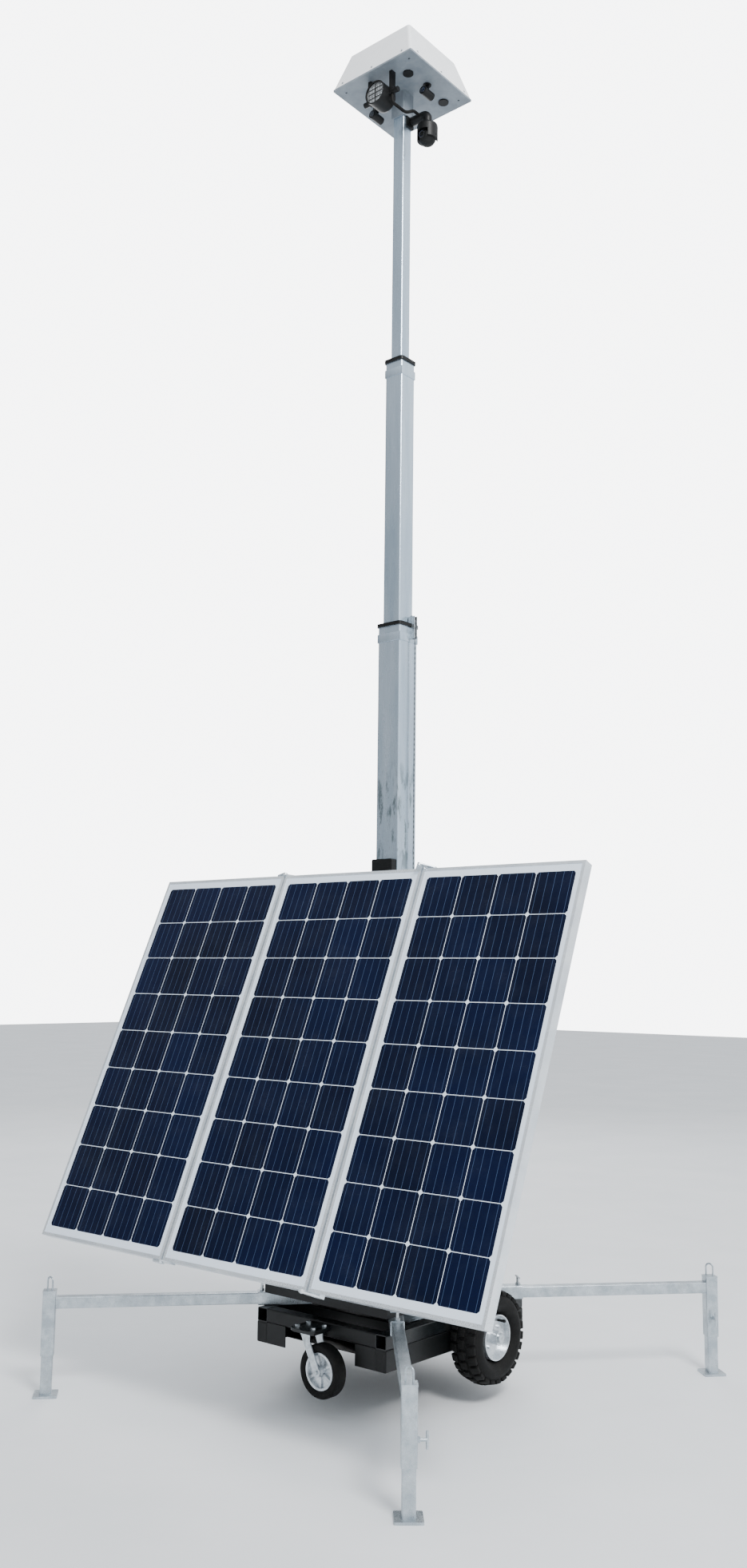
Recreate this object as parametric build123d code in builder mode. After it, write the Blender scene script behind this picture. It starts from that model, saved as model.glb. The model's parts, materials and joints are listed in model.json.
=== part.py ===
from build123d import *
from math import cos, radians, sin, sqrt
import os

# Portable solar tower: a small three-wheel trolley on four telescopic outriggers carries a
# three-stage square mast, a fold-out array of three photovoltaic modules and a camera head.
# Millimetres.  Origin on the ground under the mast, +Z up, -Y the way the array faces.

# ---- solar array -----------------------------------------------------------------------
MODULE_WIDTH = 675.0
MODULE_LENGTH = 1480.0
MODULE_DEPTH = 40.0
SEAM_GAP = 7.5
ARRAY_TILT = 67.08              # degrees from the horizontal
ARRAY_FOOT_Y = -842.0           # lower edge of the glass side
ARRAY_FOOT_Z = 519.5
FOLD_GAP = 3.0                  # air between two modules folded on each other
BAR_WIDTH = 11.0                # aluminium frame bar, seen from the glass side
BAR_FLANGE = 14.0               # foot of the bar behind the laminate
BAR_FLANGE_THICK = 2.0
BAR_LIP = 1.5
BAR_WEB = 3.0
LAMINATE_THICK = 5.0
JUNCTION_BOX = (110.0, 80.0, 22.0)
JUNCTION_BOX_DROP = 150.0       # from the top edge to its middle
LEAF_THICK = 5.0                # hinge leaves on the end faces of the module frames
LEAF_GAP = 0.3
LEAF_EYE_R = 8.0
LEAF_PIN_R = 4.0
LEAF_FOOT = (36.0, 25.0)
LEAF_FOOT_INSET = 14.5          # from the seam's middle to the wing leaf's foot

# ---- array carrier and tilt strut ------------------------------------------------------
CARRIER_TUBE = 40.0
CARRIER_WALL = 3.0
CARRIER_X = 220.0
CARRIER_END_INSET = 40.0
CARRIER_HINGE_DROP = 80.0       # hinge line, down the slope from the top edge
CARRIER_HINGE_DEPTH = 105.0     # hinge line, behind the glass side
WING_REST_DROPS = (300.0, 1180.0)
WING_REST_REACH = 480.0
CARRIER_FOOT_DROP = 1400.0
CARRIER_LUG_X = 72.0
CARRIER_LUG_THICK = 10.0
TILT_PIN_R = 8.0
STRUT_ARM = 900.0               # hinge line to either pin of the strut
STRUT_FOOT_Y = -120.0
STRUT_TUBE = 40.0
STRUT_TUBE_WALL = 4.5
STRUT_TUBE_LENGTH = 335.0
STRUT_TUBE_TAIL = 16.0
STRUT_ROD = 30.0
STRUT_ROD_WALL = 3.0
STRUT_ROD_LENGTH = 330.0
STRUT_ROD_NOSE = 14.0
STRUT_PIN_SLACK = 3.0           # lost motion in the eye at the array end
STRUT_LUG_THICK = 8.0
SIDE_CLEARANCE = 0.5            # between a lug and what turns beside it

# ---- mast ------------------------------------------------------------------------------
MAST_LOWER = 112.0
MAST_MIDDLE = 86.0
MAST_UPPER = 56.0
MAST_LOWER_WALL = 5.0
MAST_MIDDLE_WALL = 4.0
MAST_UPPER_WALL = 3.5
MAST_CORNER = 7.0
MAST_LOWER_TOP = 2885.0
MAST_MIDDLE_TOP = 4005.0
MAST_UPPER_TOP = 5209.0
MAST_MIDDLE_OVERLAP = 300.0     # length still inside the stage below at full height
MAST_UPPER_OVERLAP = 250.0
MAST_STROKE = 1000.0            # travel of each moving stage
COLLAR_LIP = 8.0
COLLAR_SKIRT = 6.0
COLLAR_RIM = 6.0                # how far a collar stands out from its stage
PAD_HEIGHT = 60.0
SLIDE_FIT = 0.3
BUFFER_BLOCK = (100.0, 30.0, 57.0)
BUFFER_RISE = 7.0               # above the array's top edge

# ---- hoist -----------------------------------------------------------------------------
ROPE_D = 5.0
ROPE_Y = 20.0
ROPE_OUTER_X = 72.5
ROPE_TAIL = 110.0               # rope reaching down inside the lower stage
SHEAVE_FLANGE = 3.3             # flange beyond the rope's centre line
SHEAVE_WIDTH = 12.0
SHEAVE_PIN_R = 4.0
SHEAVE_CHEEK = 3.0
WINCH_Z = 1100.0
WINCH_PLATE = (90.0, 120.0, 6.0)
DRUM_R = 29.7
DRUM_FLANGE_R = 40.0
DRUM_WIDTH = 47.4
WINCH_SHAFT_R = 8.0
WINCH_CHEEK = 4.0
WINCH_CHEEK_REACH = 82.0
CRANK_ARM = 150.0
CRANK_BAR = 16.0
CRANK_GRIP = 100.0
CRANK_GRIP_R = 13.0

# ---- chassis ---------------------------------------------------------------------------
RAIL_WIDTH = 50.0
RAIL_HEIGHT = 72.0
RAIL_X = 280.0
RAIL_BOTTOM = 176.0
CHASSIS_FRONT_Y = -400.0
CHASSIS_REAR_Y = 420.0
TUBE_WALL = 3.0
TUBE_CORNER = 4.5
DECK_TUBE = 48.0                # tubes of the deck level, on top of the rails
DECK_WALL = 3.0
DECK_BEARER_Y = 225.0
MAST_BEARER_Y = 130.0
PAN_THICK = 3.0
PAN_FRONT_Y = -280.0
SKIRT_INNER_X = 165.0
BASE_PLATE = (250.0, 310.0, 12.0)
SOCKET_WALL = 8.7
SOCKET_HEIGHT = 160.0
GUSSET_THICK = 8.0
GUSSET_HEIGHT = 70.0
GUSSET_REACH = 50.0

# ---- outriggers ------------------------------------------------------------------------
OUTRIGGER_ANGLE = 48.5          # degrees from the X axis
OUTRIGGER_REACH = 1251.0
RECEIVER_INNER_R = 300.0
RECEIVER_OUTER_R = 500.0
RECEIVER_WALL = 3.7
ARM_TUBE = 40.0
ARM_WALL = 3.0
ARM_INNER_R = 305.0
LEG_SLEEVE_WALL = 3.0
LEG_SLEEVE_BOTTOM = 140.0
LEG_SLEEVE_TOP = 356.0
LEG_CAP = (0.7, 6.0)             # overhang past the sleeve, thickness
LEG_TOP = 230.0
FOOT_PLATE = (84.0, 8.0)
LOOP_WIRE_R = 3.0
LOOP_HALF_WIDTH = 14.5
LOOP_STRAIGHT = 30.0
SCREW_R = 5.0
SCREW_BOSS_R = 9.0
SCREW_BOSS = 8.0
SCREW_LENGTH = 20.0
SCREW_BAR_R = 4.0
SCREW_BAR = 50.0
SCREW_INSET = 15.0              # from the receiver's mouth
LEG_SCREW_Z = 210.0

# ---- boxes on the deck -----------------------------------------------------------------
BATTERY_BOX = (580.0, 305.0, 256.0)
BATTERY_BOX_REAR_Y = -75.0
BOX_WALL = 3.0
LID_SKIRT = 20.0
LID_FIT = 0.5
BATTERY_AIR = (27.0, 40.0)       # beside the two batteries, and between them
BATTERY_DEPTH = 200.0
BATTERY_HEIGHT = 205.0
TERMINAL = (9.0, 14.0)
TERMINAL_INSET = 36.0            # from a battery's side
CABINET = (440.0, 220.0, 416.0)
CABINET_FRONT_Y = 80.0
CONTROLLER = (180.0, 60.0, 240.0)
CONTROLLER_RISE = 100.0
HINGE_EYE_R = 6.0
HINGE_PIN_R = 3.0
HINGE_EYE = 28.0
HINGE_EAR = 10.0
LID_HINGE_X = 180.0
LID_HINGE_SETBACK = 8.0
DOOR_HINGE_RISES = (60.0, 310.0)
DOOR_HINGE_SETBACK = 7.0

# ---- wheels ----------------------------------------------------------------------------
AXLE_Y = 80.0
AXLE_Z = 222.5
AXLE_R = 12.5
RUNNING_FIT = 0.05
REAR_WHEEL_X = 381.0
REAR_TYRE_R = 162.5
REAR_TYRE_WIDTH = 118.0
REAR_BEAD_R = 78.0
REAR_BEAD_WIDTH = 92.0
TYRE_WALL = 9.0
RIM_FIT = 0.3
RIM_THICK = 4.0
HUB_R = 24.0
HUB_WIDTH = 110.0
WHEEL_BOLTS = 4
WHEEL_BOLT_R = 6.0
WHEEL_BOLT_CIRCLE_R = 42.0
WASHER_R = 19.0
WASHER_THICK = 4.0
CASTER_Y = -445.0
CASTER_TRAIL = 60.0
CASTER_Z = 150.0
CASTER_TYRE_R = 90.0
CASTER_TYRE_WIDTH = 48.0
CASTER_RIM_R = 62.0
CASTER_AXLE_R = 6.0
CASTER_HUB_R = 16.0
TONGUE = (110.0, 105.0, 8.0)
TONGUE_TOP = 285.0
CASTER_HEAD = (100.0, 85.0, 8.0)
KING_PIN_R = 8.0
KING_PIN_HEAD_R = 14.0
FORK_PLATE = 5.0
FORK_HALF_WIDTH = 30.0
CROWN_R = 34.0
FORK_DROP = 2.0                 # the legs spread only below the deck tubes
CROWN_GAP = 0.3

# ---- head ------------------------------------------------------------------------------
HEAD_PLATE = 420.0
HEAD_PLATE_THICK = 8.0
HEAD_SOCKET = 109.0
HEAD_SOCKET_WALL = 6.7
COVER_TOP = 320.0
COVER_HEIGHT = 160.0
COVER_WALL = 4.0
ACCESSORY_SPACING = (340.0, 340.0)
ACCESSORY_HOLE_R = 4.5
PLUG_R = 22.0
PLUG_PLACES = ((113.0, -104.0), (114.0, 137.0))
BULLET_PLACES = ((128.0, 5.0), (-140.0, -5.0))
BULLET_R = 17.0
BULLET_LENGTH = 62.0
FLOOD_X = 10.0
FLOOD_Y = -152.0
FLOOD_DROP = 91.0
FLOOD_R = 50.0
FLOOD_DEPTH = 90.0
FLOOD_RIM = 12.0
FLOOD_LENS_R = 45.0
YOKE_BAR = (14.0, 24.0)
PIVOT_R = 5.0
KNOB_R = 11.0
KNOB_LENGTH = 25.0
PTZ_X = 121.0
PTZ_Y = 18.0
PTZ_ARM_Z = 5085.0
PTZ_ARM_R = 19.0
PTZ_FLANGE = (46.0, 45.0, 8.0)
PTZ_BODY_R = 44.0
PTZ_BODY_TOP = 5036.0
PTZ_BALL_Z = 4976.0
PTZ_BALL_R = 36.0
PTZ_BALL_FIT = 0.6
PTZ_MOUTH = 56.0
PTZ_TRUNNION_R = 4.0
CABLE_R = 6.5

BOLT_R = 9.0
BOLT_HEAD = 7.0

# ---- levels and lines worked out from the sizes above ----------------------------------
RAIL_TOP = RAIL_BOTTOM + RAIL_HEIGHT
RAIL_Z = RAIL_BOTTOM + RAIL_HEIGHT / 2
DECK_Z = RAIL_TOP + DECK_TUBE / 2
DECK_TOP = RAIL_TOP + DECK_TUBE
RECEIVER_TUBE = ARM_TUBE + 2 * (SLIDE_FIT + RECEIVER_WALL)
ARM_Z = DECK_TOP + RECEIVER_TUBE / 2
BOX_BOTTOM = DECK_TOP + RECEIVER_TUBE
BASE_TOP = RAIL_TOP + BASE_PLATE[2]
CHASSIS_LENGTH = CHASSIS_REAR_Y - CHASSIS_FRONT_Y
DECK_INNER_X = RAIL_X - DECK_TUBE / 2
BATTERY_BOX_Y = BATTERY_BOX_REAR_Y - BATTERY_BOX[1] / 2
BOX_TOP = BOX_BOTTOM + BATTERY_BOX[2]
CABINET_REAR_Y = CABINET_FRONT_Y + CABINET[1]
SEAM_X = MODULE_WIDTH / 2 + SEAM_GAP / 2
WING_X = MODULE_WIDTH + SEAM_GAP
FOLD_DEPTH = {-1: FOLD_GAP / 2, 1: FOLD_GAP + MODULE_DEPTH / 2}
UP_SLOPE = Vector(0, cos(radians(ARRAY_TILT)), sin(radians(ARRAY_TILT)))
BACKWARD = Vector(0, sin(radians(ARRAY_TILT)), -cos(radians(ARRAY_TILT)))
ARRAY_TOP = Vector(0, ARRAY_FOOT_Y, ARRAY_FOOT_Z) + UP_SLOPE * MODULE_LENGTH
HEAD_BOTTOM = MAST_UPPER_TOP
FLOOD_Z = HEAD_BOTTOM - FLOOD_DROP
LEG_SLEEVE = ARM_TUBE + 2 * (SLIDE_FIT + LEG_SLEEVE_WALL)
SHEAVE_INNER_X = (MAST_LOWER / 2 - MAST_LOWER_WALL + MAST_MIDDLE / 2) / 2
SHEAVE_R = (ROPE_OUTER_X - SHEAVE_INNER_X) / 2
SHEAVE_X = (ROPE_OUTER_X + SHEAVE_INNER_X) / 2
SHEAVE_Z = MAST_LOWER_TOP + COLLAR_LIP + SHEAVE_R + SHEAVE_FLANGE + 1.0
DRUM_X = ROPE_OUTER_X + ROPE_D / 2 + SLIDE_FIT + DRUM_R
CARRIER_FRONT = MODULE_DEPTH
CARRIER_BACK = MODULE_DEPTH + CARRIER_TUBE


def array_point(x, drop, depth):
    """Point of the array: across, down the slope from the top edge, behind the glass side."""
    return ARRAY_TOP + Vector(x, 0, 0) - UP_SLOPE * drop + BACKWARD * depth


def facing_back(x, drop, depth):
    """Plane parallel to the glass: local x across, local y down the slope, normal backward."""
    return Plane(origin=array_point(x, drop, depth), x_dir=(1, 0, 0), z_dir=BACKWARD)


def facing_down_slope(x, drop, depth):
    """Plane across the slope: local x across, local y towards the sun, normal downhill."""
    return Plane(origin=array_point(x, drop, depth), x_dir=(1, 0, 0), z_dir=-UP_SLOPE)


def facing_front(y):
    """Upright plane at y: local x is X, local y is Z, its normal points to -Y."""
    return Plane.XZ.offset(-y)


def facing_right(x):
    """Upright plane at x: local x is Y, local y is Z, its normal points to +X."""
    return Plane.YZ.offset(x)


HINGE = array_point(0, CARRIER_HINGE_DROP, CARRIER_HINGE_DEPTH)
STRUT_HEAD = array_point(0, CARRIER_HINGE_DROP + STRUT_ARM, CARRIER_HINGE_DEPTH)
STRUT_FOOT = Vector(0, STRUT_FOOT_Y, HINGE.Z - sqrt(STRUT_ARM**2 - (STRUT_FOOT_Y - HINGE.Y)**2))
STRUT_AXIS = (STRUT_HEAD - STRUT_FOOT).normalized()
STRUT_LENGTH = (STRUT_HEAD - STRUT_FOOT).length


def tube_section(width, height, wall, corner):
    """Hollow section with rounded corners, drawn in the current sketch."""
    RectangleRounded(width, height, corner)
    RectangleRounded(width - 2 * wall, height - 2 * wall, corner - wall, mode=Mode.SUBTRACT)


def tube(plane, width, height, wall, length, corner=TUBE_CORNER):
    """Straight hollow tube standing on the given plane."""
    with BuildPart() as piece:
        with BuildSketch(plane):
            tube_section(width, height, wall, corner)
        extrude(amount=length)
    return piece.part


def group(*pieces):
    """Separate solids that share one node."""
    return Compound(children=list(pieces))


# ---- chassis ---------------------------------------------------------------------------
def side_rails():
    """Two deep rails along the trolley, bored for the rear axle."""
    with BuildPart() as rails:
        with BuildSketch(facing_front(CHASSIS_REAR_Y)):
            with Locations((-RAIL_X, RAIL_Z), (RAIL_X, RAIL_Z)):
                tube_section(RAIL_WIDTH, RAIL_HEIGHT, TUBE_WALL, TUBE_CORNER)
        extrude(amount=CHASSIS_LENGTH)
        with BuildSketch(facing_right(-RAIL_X - RAIL_WIDTH)):
            with Locations((AXLE_Y, AXLE_Z)):
                Circle(AXLE_R + RUNNING_FIT)
        extrude(amount=2 * (RAIL_X + RAIL_WIDTH), mode=Mode.SUBTRACT)
    return rails.part


def cross_tube(y, z, width, height, half_length):
    """One tube across the trolley."""
    plane = Plane(origin=(-half_length, y, z), x_dir=(0, 1, 0), z_dir=(1, 0, 0))
    return tube(plane, width, height, TUBE_WALL, 2 * half_length)


def cross_tubes():
    """Rail-level tubes under the mast and deck-level tubes under the outriggers."""
    rail_inner = RAIL_X - RAIL_WIDTH / 2
    rear_low = CHASSIS_REAR_Y - RAIL_WIDTH / 2
    low = [cross_tube(y, RAIL_Z, RAIL_WIDTH, RAIL_HEIGHT, rail_inner)
           for y in (-MAST_BEARER_Y, MAST_BEARER_Y, rear_low)]
    deck_rows = (CHASSIS_FRONT_Y + DECK_TUBE / 2, -DECK_BEARER_Y, DECK_BEARER_Y,
                 CHASSIS_REAR_Y - DECK_TUBE / 2)
    deck = [cross_tube(y, DECK_Z, DECK_TUBE, DECK_TUBE, DECK_INNER_X) for y in deck_rows]
    return group(*low, *deck)


def stow_tubes():
    """Open tubes along both rails that take a stowed outrigger."""
    with BuildPart() as tubes:
        with BuildSketch(facing_front(CHASSIS_REAR_Y)):
            with Locations((-RAIL_X, DECK_Z), (RAIL_X, DECK_Z)):
                tube_section(DECK_TUBE, DECK_TUBE, DECK_WALL, TUBE_CORNER)
        extrude(amount=CHASSIS_LENGTH)
    return tubes.part


def belly_pan():
    """Black pan under the rails with a skirt at each front corner."""
    half_width = RAIL_X - RAIL_WIDTH / 2
    with BuildPart() as pan:
        with BuildSketch(Plane.XY.offset(RAIL_BOTTOM - PAN_THICK)):
            with Locations((0, (PAN_FRONT_Y + CHASSIS_REAR_Y) / 2)):
                Rectangle(2 * (half_width + RAIL_WIDTH / 2), CHASSIS_REAR_Y - PAN_FRONT_Y)
        extrude(amount=PAN_THICK)
    skirt_width = half_width - SKIRT_INNER_X
    with BuildPart() as skirts:
        with BuildSketch(facing_front(CHASSIS_FRONT_Y + PAN_THICK)):
            with Locations((-SKIRT_INNER_X - skirt_width / 2, RAIL_Z),
                           (SKIRT_INNER_X + skirt_width / 2, RAIL_Z)):
                Rectangle(skirt_width, RAIL_HEIGHT)
        extrude(amount=PAN_THICK)
    return group(pan.part, skirts.part)


def mast_base():
    """Base plate, socket and four gussets that hold the foot of the mast."""
    inner = MAST_LOWER
    outer = inner + 2 * SOCKET_WALL
    with BuildPart() as base:
        with BuildSketch(Plane.XY.offset(RAIL_TOP)):
            RectangleRounded(BASE_PLATE[0], BASE_PLATE[1], MAST_CORNER)
        extrude(amount=BASE_PLATE[2])
        with BuildSketch(Plane.XY.offset(BASE_TOP)):
            RectangleRounded(outer, outer, MAST_CORNER + SOCKET_WALL)
            RectangleRounded(inner, inner, MAST_CORNER, mode=Mode.SUBTRACT)
        extrude(amount=SOCKET_HEIGHT)
        for turn in (0, 90, 180, 270):
            side = Plane(origin=(0, 0, BASE_TOP), x_dir=(cos(radians(turn)), sin(radians(turn)), 0),
                         z_dir=(sin(radians(turn)), -cos(radians(turn)), 0))
            with BuildSketch(side):
                with BuildLine():
                    Polyline((outer / 2 - 1, 0), (outer / 2 + GUSSET_REACH, 0),
                             (outer / 2, GUSSET_HEIGHT), (outer / 2 - 1, GUSSET_HEIGHT), close=True)
                make_face()
            extrude(amount=GUSSET_THICK / 2, both=True)
    return base.part


def caster_tongue():
    """Rounded tongue ahead of the deck with the caster's head plate and king pin."""
    head_bottom = TONGUE_TOP - TONGUE[2] - CASTER_HEAD[2]
    middle_y = CHASSIS_FRONT_Y - TONGUE[1] / 2
    with BuildPart() as tongue:
        with BuildSketch(Plane.XY.offset(TONGUE_TOP - TONGUE[2])):
            with Locations((0, middle_y)):
                Rectangle(TONGUE[0], TONGUE[1])
            nose = vertices().group_by(Axis.Y)[0]
            fillet(nose, TONGUE[0] / 4)
        extrude(amount=TONGUE[2])
        with BuildSketch(Plane.XY.offset(head_bottom)):
            with Locations((0, CASTER_Y)):
                RectangleRounded(CASTER_HEAD[0], CASTER_HEAD[1], MAST_CORNER)
        extrude(amount=CASTER_HEAD[2])
        with BuildSketch(Plane.XY.offset(head_bottom)):
            with Locations((0, CASTER_Y)):
                Circle(KING_PIN_R)
        extrude(amount=-(CROWN_GAP + FORK_PLATE + CROWN_GAP))
        with BuildSketch(Plane.XY.offset(head_bottom - 2 * CROWN_GAP - FORK_PLATE)):
            with Locations((0, CASTER_Y)):
                Circle(KING_PIN_HEAD_R)
        extrude(amount=-3)
    return tongue.part


def rear_axle():
    """Straight axle through both rails with a washer outside and inside each wheel."""
    hub_outer = REAR_WHEEL_X + HUB_WIDTH / 2
    hub_inner = REAR_WHEEL_X - HUB_WIDTH / 2
    washers = (hub_outer + RIM_FIT, hub_inner - RIM_FIT - WASHER_THICK,
               -hub_outer - RIM_FIT - WASHER_THICK, -hub_inner + RIM_FIT)
    end = hub_outer + RIM_FIT + WASHER_THICK
    with BuildPart() as axle:
        with BuildSketch(facing_right(-end)):
            with Locations((AXLE_Y, AXLE_Z)):
                Circle(AXLE_R)
        extrude(amount=2 * end)
        for x in washers:
            with BuildSketch(facing_right(x)):
                with Locations((AXLE_Y, AXLE_Z)):
                    Circle(WASHER_R)
            extrude(amount=WASHER_THICK)
    return axle.part


def frame_bolts():
    """Hexagon heads on the mast's base plate and on the caster tongue."""
    base_x = BASE_PLATE[0] / 2 - 2 * BOLT_R
    base_y = BASE_PLATE[1] / 2 - 2 * BOLT_R
    tongue_x = TONGUE[0] / 2 - 2 * BOLT_R
    with BuildPart() as bolts:
        with BuildSketch(Plane.XY.offset(BASE_TOP)):
            with GridLocations(2 * base_x, 2 * base_y, 2, 2):
                RegularPolygon(BOLT_R, 6)
        extrude(amount=BOLT_HEAD)
        with BuildSketch(Plane.XY.offset(TONGUE_TOP)):
            with Locations((0, CASTER_Y)):
                with GridLocations(2 * tongue_x, CASTER_HEAD[1] - 3 * BOLT_R, 2, 2):
                    RegularPolygon(BOLT_R, 6)
        extrude(amount=BOLT_HEAD)
    return bolts.part


# ---- outriggers ------------------------------------------------------------------------
def outrigger_direction(side_x, side_y):
    """Level unit vector from the mast to one foot."""
    angle = radians(OUTRIGGER_ANGLE)
    return Vector(side_x * cos(angle), side_y * sin(angle), 0)


def radial_plane(side_x, side_y, radius, z):
    """Upright plane across an outrigger, its normal pointing outward, local y up."""
    out = outrigger_direction(side_x, side_y)
    return Plane(origin=out * radius + Vector(0, 0, z), x_dir=(-out.Y, out.X, 0), z_dir=out)


def leg_plane(side_x, side_y, z):
    """Level plane round the axis of one leg, local x pointing outward."""
    out = outrigger_direction(side_x, side_y)
    return Plane(origin=out * OUTRIGGER_REACH + Vector(0, 0, z), x_dir=out, z_dir=(0, 0, 1))


def lock_screw(plane):
    """Welded nut, screw and cross bar, standing on the given plane."""
    top = plane.offset(SCREW_BOSS + SCREW_LENGTH)
    bar = Plane(origin=top.origin - top.x_dir * SCREW_BAR / 2, x_dir=top.y_dir, z_dir=top.x_dir)
    with BuildPart() as screw:
        with BuildSketch(plane):
            RegularPolygon(SCREW_BOSS_R, 6)
        extrude(amount=SCREW_BOSS)
        with BuildSketch(plane.offset(SCREW_BOSS)):
            Circle(SCREW_R)
        extrude(amount=SCREW_LENGTH)
        with BuildSketch(bar):
            Circle(SCREW_BAR_R)
        extrude(amount=SCREW_BAR)
    return screw.part


CORNERS = {"front_left": (-1, -1), "front_right": (1, -1), "rear_left": (-1, 1), "rear_right": (1, 1)}


def arm_receivers():
    """Four tubes welded on the deck that the outrigger arms slide in."""
    length = RECEIVER_OUTER_R - RECEIVER_INNER_R
    return group(*[tube(radial_plane(*sides, RECEIVER_INNER_R, ARM_Z), RECEIVER_TUBE, RECEIVER_TUBE,
                        RECEIVER_WALL, length) for sides in CORNERS.values()])


def arm_lock_screws():
    """Screws that clamp each arm in its receiver."""
    screws = []
    for sides in CORNERS.values():
        out = outrigger_direction(*sides)
        place = out * (RECEIVER_OUTER_R - SCREW_INSET) + Vector(0, 0, BOX_BOTTOM)
        screws.append(lock_screw(Plane(origin=place, x_dir=(-out.Y, out.X, 0), z_dir=(0, 0, 1))))
    return screws


def carrying_loop(side_x, side_y):
    """Bent wire loop on the cap of a leg sleeve."""
    out = outrigger_direction(side_x, side_y) * OUTRIGGER_REACH
    foot_z = LEG_SLEEVE_TOP + LEG_CAP[1]
    bend_z = foot_z + LOOP_STRAIGHT
    left = out.X - LOOP_HALF_WIDTH
    right = out.X + LOOP_HALF_WIDTH
    with BuildPart() as loop:
        with BuildLine():
            Line((left, out.Y, foot_z), (left, out.Y, bend_z))
            ThreePointArc((left, out.Y, bend_z), (out.X, out.Y, bend_z + LOOP_HALF_WIDTH),
                          (right, out.Y, bend_z))
            Line((right, out.Y, bend_z), (right, out.Y, foot_z))
        with BuildSketch(Plane(origin=(left, out.Y, foot_z))):
            Circle(LOOP_WIRE_R)
        sweep()
    return loop.part


def outrigger_arm(side_x, side_y):
    """Arm tube with the leg sleeve, its cap, loop and lock screw at the outer end."""
    sleeve_inner_r = OUTRIGGER_REACH - LEG_SLEEVE / 2
    arm = tube(radial_plane(side_x, side_y, ARM_INNER_R, ARM_Z), ARM_TUBE, ARM_TUBE, ARM_WALL,
               sleeve_inner_r - ARM_INNER_R, corner=ARM_WALL + 1)
    cap = LEG_SLEEVE + 2 * LEG_CAP[0]
    with BuildPart() as sleeve:
        with BuildSketch(leg_plane(side_x, side_y, LEG_SLEEVE_BOTTOM)):
            tube_section(LEG_SLEEVE, LEG_SLEEVE, LEG_SLEEVE_WALL, LEG_SLEEVE_WALL + 1)
        extrude(amount=LEG_SLEEVE_TOP - LEG_SLEEVE_BOTTOM)
        with BuildSketch(leg_plane(side_x, side_y, LEG_SLEEVE_TOP)):
            RectangleRounded(cap, cap, LEG_SLEEVE_WALL)
        extrude(amount=LEG_CAP[1])
    flank = leg_plane(side_x, side_y, LEG_SCREW_Z)
    face = Plane(origin=flank.origin - flank.y_dir * side_x * side_y * LEG_SLEEVE / 2,
                 x_dir=(0, 0, 1), z_dir=flank.y_dir * -side_x * side_y)
    return group(arm, sleeve.part, carrying_loop(side_x, side_y), lock_screw(face))


def outrigger_leg(side_x, side_y):
    """Inner leg tube welded on a square foot plate."""
    with BuildPart() as leg:
        with BuildSketch(leg_plane(side_x, side_y, 0)):
            RectangleRounded(FOOT_PLATE[0], FOOT_PLATE[0], TUBE_CORNER)
        extrude(amount=FOOT_PLATE[1])
        with BuildSketch(leg_plane(side_x, side_y, FOOT_PLATE[1])):
            tube_section(ARM_TUBE, ARM_TUBE, ARM_WALL, ARM_WALL + 1)
        extrude(amount=LEG_TOP - FOOT_PLATE[1])
    return leg.part


# ---- wheels ----------------------------------------------------------------------------
def wheel_axis_plane(x, y, z, axle_along_x):
    """Plane through a wheel whose local x runs along the axle and local y is a radius."""
    if axle_along_x:
        return Plane(origin=(x, y, z), x_dir=(1, 0, 0), z_dir=(0, -1, 0))
    return Plane(origin=(x, y, z), x_dir=(0, 1, 0), z_dir=(1, 0, 0))


def rear_tyre(side):
    """Low-pressure tyre: a rounded carcass, open at the beads."""
    plane = wheel_axis_plane(side * REAR_WHEEL_X, AXLE_Y, AXLE_Z, True)
    height = REAR_TYRE_R - REAR_BEAD_R
    with BuildPart() as tyre:
        with BuildSketch(plane):
            with Locations((0, REAR_BEAD_R + height / 2)):
                RectangleRounded(REAR_TYRE_WIDTH, height, height * 0.4)
                RectangleRounded(REAR_TYRE_WIDTH - 2 * TYRE_WALL, height - 2 * TYRE_WALL,
                                 height * 0.4 - TYRE_WALL, mode=Mode.SUBTRACT)
            with Locations((0, REAR_BEAD_R)):
                Rectangle(REAR_BEAD_WIDTH - 4 * TYRE_WALL, 3 * TYRE_WALL, mode=Mode.SUBTRACT)
        revolve(axis=Axis(plane.origin, plane.x_dir))
    return tyre.part


def rear_rim(side):
    """Pressed rim with a dished disc, hub and four bolt heads."""
    plane = wheel_axis_plane(side * REAR_WHEEL_X, AXLE_Y, AXLE_Z, True)
    barrel_r = REAR_BEAD_R - RIM_FIT
    half = REAR_BEAD_WIDTH / 2
    disc_x = side * half / 2
    with BuildPart() as rim:
        with BuildSketch(plane):
            with Locations((0, barrel_r - RIM_THICK / 2)):
                Rectangle(REAR_BEAD_WIDTH, RIM_THICK)
            with Locations((disc_x, (barrel_r + HUB_R) / 2 - RIM_THICK / 2)):
                Rectangle(RIM_THICK, barrel_r - HUB_R)
            with Locations((0, (HUB_R + AXLE_R + RUNNING_FIT) / 2)):
                Rectangle(HUB_WIDTH, HUB_R - AXLE_R - RUNNING_FIT)
        revolve(axis=Axis(plane.origin, plane.x_dir))
        face = Plane(origin=plane.origin + Vector(disc_x + side * RIM_THICK / 2, 0, 0),
                     x_dir=(0, 1, 0), z_dir=(side, 0, 0))
        with BuildSketch(face):
            with PolarLocations(WHEEL_BOLT_CIRCLE_R, WHEEL_BOLTS, start_angle=45):
                RegularPolygon(WHEEL_BOLT_R, 6)
        extrude(amount=BOLT_HEAD)
    return rim.part


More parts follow.
